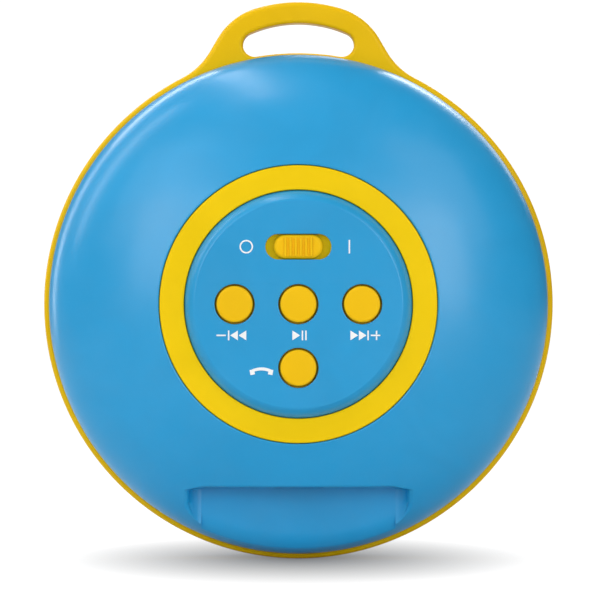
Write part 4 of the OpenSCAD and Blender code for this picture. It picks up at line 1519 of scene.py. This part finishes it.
@dataclass
class PortCover(SubAssembly):
    """The soft flap over the charging port in the bay's ceiling."""

    corner: float = 0.5
    edge: float = 0.22
    thickness: float = 1.0
    plug_length: float = 7.0
    plug_width: float = 1.8
    plug_reach: float = 1.6
    plug_edge: float = 0.15
    bead: float = 0.3
    bead_inset: float = 0.5

    def build(self) -> None:
        """Build the flap with its plug and rolled edge."""
        node, socket = Span.of("port_cover"), Span.of("usb_socket")
        face, high = node.low.y, node.high.z
        low = Span.of("port_cover_root").high.z + 0.15
        reach, bevel = self.plug_reach, self.plug_edge

        def place(u: float, v: float, w: float) -> Vector:
            """Stand a slab on the flap's face."""
            return Side.CONTROL.place(u, face - w, v)

        outline = round_box(node.size.x, high - low, self.corner, (0.0, (low + high) / 2))
        stack = rounded_wall(0.0, -self.thickness, self.edge, 4)
        flap = slab("port_flap", [Contour(outline, stack)], place)
        box = round_box(self.plug_length, self.plug_width, 0.4, (0.0, socket.centre.z))
        stack = [(0.0, 0.2 - self.thickness), (0.0, bevel - reach), (-bevel, -reach)]
        carve(flap, slab("plug", [Contour(box, stack)], place), Carving.JOIN)
        carve(flap, self._bead(node, low + self.bead), Carving.JOIN)
        self.shop.fit(flap, "blue_rubber", ["port_cover"], "port_flap")

    def _bead(self, node: Span, top: float) -> Piece:
        """Build the rolled edge that the flap turns on.

        Args:
            node: the room that the flap takes.
            top: depth at which the edge joins the flap.

        Returns:
            The solid.
        """
        r, half = self.bead, node.size.x / 2 - self.bead_inset
        y, z = node.low.y + r + 0.05, node.low.z + r
        outline = arc((y, z), r, 180, 360, 10) + [(y + r, top), (y - r, top)]

        def place(u: float, v: float, w: float) -> Vector:
            """Lay a slab along the hinge."""
            return Side.CONTROL.place(w, u, v)

        return slab("bead", [Contour(outline, [(0.0, half), (0.0, -half)])], place)


@dataclass
class SoftParts(SubAssembly):
    """The seals, the keypad membrane, and the battery with its foam pad."""

    edge: float = 0.18
    groove: float = 0.35
    groove_depth: float = 0.12
    seal_width: float = 1.6
    gasket_hole: float = 23.8
    panel_seal_width: float = 3.75
    screw_head: float = 1.5
    boss: float = 1.5
    bead_width: float = 1.2
    bead_overlap: float = 0.2
    web: float = 0.6
    web_drop: float = 1.7
    thinning: float = 0.52
    hinge: float = 1.75
    hinge_flare: float = 0.45
    board_screw: float = 11.2
    board_boss: float = 2.0
    slot_length: float = 12.2
    actuator_length: float = 4.2
    actuator_width: float = 3.4
    cell_corner: float = 1.8
    cell_edge: float = 1.3
    pad_corner: float = 1.4
    pad_edge: float = 0.3

    def build(self) -> None:
        """Build the soft pieces and fit them."""
        seal, gasket = Span.of("main_seal"), Span.of("driver_gasket")
        ring = self._washer(seal.radius - self.seal_width, seal.radius, seal.low.z, seal.high.z)
        self.shop.fit(lathe("casing_seal", ring, steps=160), "grey_rubber", ["main_seal"])
        high, low = gasket.front
        ring = self._washer(self.gasket_hole, gasket.radius, low, high)
        washer = lathe("basket_gasket", ring, Side.GRILLE, 128)
        self.shop.fit(washer, "foam", ["driver_gasket"])
        self._panel_seal()
        self._membrane()
        self._battery()

    def _washer(self, inner: float, outer: float, low: float, high: float) -> list[Point]:
        """Draw the section of a flat seal with rounded edges and a groove along its middle.

        Args:
            inner: radius of its hole.
            outer: radius of its rim.
            low: lower height.
            high: upper height.

        Returns:
            The section as (r, z) pairs.
        """
        dip, edge = min(self.groove_depth, (high - low) / 5), min(self.edge, (high - low) / 4)
        r, half, mid = (inner + outer) / 2, self.groove, (low + high) / 2
        return fillet(
            [
                (inner, mid, 0.0), (inner, low, edge), (r - half, low, 0.0), (r, low + dip, 0.0),
                (r + half, low, 0.0), (outer, low, edge), (outer, high, edge),
                (r + half, high, 0.0), (r, high - dip, 0.0), (r - half, high, 0.0),
                (inner, high, edge), (inner, mid, 0.0),
            ],
            3,
        )[:-1]

    def _panel_seal(self) -> None:
        """Build the flat seal under the panel, with holes for the ring's bosses."""
        node, ring = Span.of("panel_seal"), Span.of("trim_ring_screws")
        reach = (ring.high.x - self.screw_head) * math.sqrt(2)
        wall = rounded_wall(node.high.z, node.low.z, 0.12, 2)
        inner = Span.of("control_panel").radius - self.panel_seal_width
        contours = [
            Contour(circle(node.radius, 128), wall),
            Contour(circle(inner, 128), wall, hole=True),
        ]
        for spot in arc((0.0, 0.0), reach, 45, 315, 3):
            contours.append(Contour(circle(self.boss, 24, spot), wall, hole=True))
        self.shop.fit(slab("panel_gasket", contours), "grey_rubber", ["panel_seal"])

    def _membrane(self) -> None:
        """Build the keypad membrane: a rolled bead, and a web that thins under each key."""
        node, knob = Span.of("keypad_membrane"), Span.of("switch_knob")
        top = node.high.z - self.web_drop
        bead = self._washer(node.radius - self.bead_width, node.radius, node.low.z, node.high.z)
        travel = (self.slot_length - knob.size.x) / 2 - 0.05
        wall = [(0.0, top), (0.0, top - self.web)]
        contours = [Contour(circle(node.radius - self.bead_overlap, 128), wall)]
        far = self.board_screw
        for spot in ((-far, -far), (-far, far), (far, -far), (far, far)):
            contours.append(Contour(circle(self.board_boss, 24, spot), wall, hole=True))
        slot = pill(self.actuator_length + 2 * travel, self.actuator_width, (0.0, knob.centre.y))
        contours.append(Contour(slot, wall, hole=True))
        membrane = slab("key_membrane", contours)
        carve(membrane, lathe("bead", bead, steps=128), Carving.JOIN)
        deep, over, r = top - self.thinning, top + 0.2, self.hinge
        hinge = [(0.0, deep), (r, deep), (r + self.hinge_flare, over), (0.0, over)]
        for key in Key:
            carve(membrane, lathe("hinge", hinge, steps=48, centre=key.span.spot))
        self.shop.fit(membrane, "grey_rubber", ["keypad_membrane"])

    def _battery(self) -> None:
        """Build the pouch with its rounded edges and the foam pad that holds it down."""
        cell, foam = Span.of("battery"), Span.of("battery_pad")
        outline = round_box(cell.size.x, cell.size.y, self.cell_corner, cell.spot)
        stack = rounded_wall(cell.high.z, cell.low.z, self.cell_edge, 6)
        self.shop.fit(slab("pouch_cell", [Contour(outline, stack)]), "battery_foil", ["battery"])
        outline = round_box(foam.size.x, foam.size.y, self.pad_corner, foam.spot)
        stack = rounded_wall(foam.high.z, foam.low.z, min(self.pad_edge, foam.size.z / 3), 3)
        pad = slab("battery_cushion", [Contour(outline, stack)])
        self.shop.fit(pad, "foam", ["battery_pad"])


@dataclass(frozen=True)
class Softbox:
    """A lamp that faces the object, with its sizes in metres and its power in watts."""

    name: str
    spot: Point3
    wide: float
    tall: float
    watts: float

    def hang(self) -> None:
        """Put the lamp into the scene."""
        data = bpy.data.lights.new(self.name, "AREA")
        data.shape = "RECTANGLE"
        data.size, data.size_y = self.wide, self.tall
        data.energy = self.watts
        lamp = add_object(self.name, data)
        lamp.location = self.spot
        aim = Vector((0.0, 0.0, AXIS_HEIGHT)) - Vector(self.spot)
        lamp.rotation_euler = aim.to_track_quat("-Z", "Y").to_euler()


LAMPS = (
    Softbox("left key", (-0.6, -0.66, 0.45), 0.5, 0.5, 1.0),
    Softbox("right key", (0.6, -0.66, 0.45), 0.5, 0.5, 0.95),
    Softbox("left wash", (-0.7, -1.3, 0.3), 0.6, 0.6, 3.2),
    Softbox("right wash", (0.7, -1.3, 0.2), 0.6, 0.6, 4.3),
    Softbox("top strip", (-0.12, -0.02, 0.45), 0.5, 0.06, 0.6),
    Softbox("upper left strip", (-0.4, -0.02, 0.25), 0.06, 0.4, 0.4),
    Softbox("back strip", (-0.1, 0.5, 0.42), 1.0, 0.1, 2.4),
    Softbox("left back strip", (-0.6, 0.4, 0.1), 0.1, 0.5, 0.8),
    Softbox("back fill", (0.3, 0.8, 0.45), 0.6, 0.6, 2.0),
)


@dataclass
class Studio:
    """The floor, the lights and the camera."""

    eye: Point3 = (0.0003, -0.803, -0.05223)
    lens: float = 254.6
    front: Point3 = (-0.15, -0.9, 0.1)
    dim: float = 0.08
    bright: float = 0.62
    floor_reach: float = 6.0
    floor_tone: float = 0.68
    # The shadow painted on the floor round the object: its reach across and along, its fall and its
    # darkest tone.
    shadow_width: float = 0.046
    shadow_depth: float = 0.08
    shadow_fall: float = 1.25
    shadow_tone: float = 0.17

    def build(self) -> None:
        """Set up everything round the object."""
        self._floor()
        self._world()
        for lamp in LAMPS:
            lamp.hang()
        self._camera()
        bpy.context.scene.view_settings.view_transform = "Standard"

    def _world(self) -> None:
        """Make the white room, brighter in front of the object and where the camera sees it."""
        world = bpy.data.worlds.new("white room")
        bpy.context.scene.world = world
        world.use_nodes = True
        world.node_tree.nodes.clear()
        g = Graph(world.node_tree)
        seen = g.node("LightPath").outputs["Is Camera Ray"]
        towards = g.node("TexCoord").outputs["Generated"]
        lit = g.node("VectorMath", {"operation": "DOT_PRODUCT"}, i0=towards, i1=self.front)
        strength = g.spread(lit.outputs["Value"], -0.8, 1.0, self.dim, self.bright)
        strength = g.math("ADD", strength, seen)
        room = g.node("Background", Color=WHITE, Strength=strength)
        g.node("OutputWorld", Surface=room.outputs["Background"])

    def _floor(self) -> None:
        """Lay a wide pale floor under the object, seen by the camera as painted glow with a painted
        shadow.
        """
        level = min(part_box("rim_band")[0].z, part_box("rear_shell")[0].z)
        far = self.floor_reach
        corners = [(-far, -far, level), (far, -far, level), (far, far, level), (-far, far, level)]
        mesh = bpy.data.meshes.new("floor")
        mesh.from_pydata(corners, [], [(0, 1, 2, 3)])
        floor = add_object("floor", mesh)
        pale = bpy.data.materials.new("pale floor")
        pale.use_nodes = True
        skin = pale.node_tree.nodes["Principled BSDF"].inputs
        skin["Roughness"].default_value = 0.9
        skin["Specular IOR Level"].default_value = 0.0
        skin["Emission Color"].default_value = WHITE
        g = Graph(pale.node_tree)
        seen = g.node("LightPath").outputs["Is Camera Ray"]
        tone = self.floor_tone
        # The camera sees a dark base under painted glow; other rays see the floor's own tone.
        base = g.mix(seen, (tone, tone, tone, 1.0), (0.1, 0.1, 0.1, 1.0))
        place = g.node("SeparateXYZ", Vector=g.node("TexCoord").outputs["Object"]).outputs
        # Painted shadow: the camera-only glow fades to shadow_tone in an ellipse round the object's
        # foot.
        across = g.math("POWER", g.math("DIVIDE", place["X"], self.shadow_width), 2.0)
        along = g.math("POWER", g.math("DIVIDE", place["Y"], self.shadow_depth), 2.0)
        away = g.math("SQRT", g.math("ADD", across, along))
        near = g.math("POWER", g.spread(away, 0.0, 1.0), self.shadow_fall)
        painted_shadow_glow = g.spread(near, 0.0, 1.0, self.shadow_tone)
        g.link(base, skin["Base Color"])
        g.link(g.math("MULTIPLY", painted_shadow_glow, seen), skin["Emission Strength"])
        mesh.materials.append(pale)

    def _camera(self) -> None:
        """Stand the camera straight in front of the control side."""
        data = bpy.data.cameras.new("camera")
        data.lens = self.lens
        data.sensor_width = 36.0
        data.clip_start = 0.01
        camera = add_object("camera", data)
        camera.location = self.eye
        camera.rotation_euler = (math.radians(90), 0.0, 0.0)
        bpy.context.scene.camera = camera


def main() -> None:
    """Build the speaker and the studio round it."""
    logging.basicConfig(level=logging.INFO, format="%(name)s: %(message)s")
    shop = Workshop()
    shop.open()
    for kind in (RearCasing, RimAndLoop, FrontCasing, ControlPanel, PortCover, SoftParts):
        log.info("building %s", kind.__name__)
        kind(shop).build()
    shop.dress_frame()
    Studio().build()


if __name__ == "__main__":
    main()
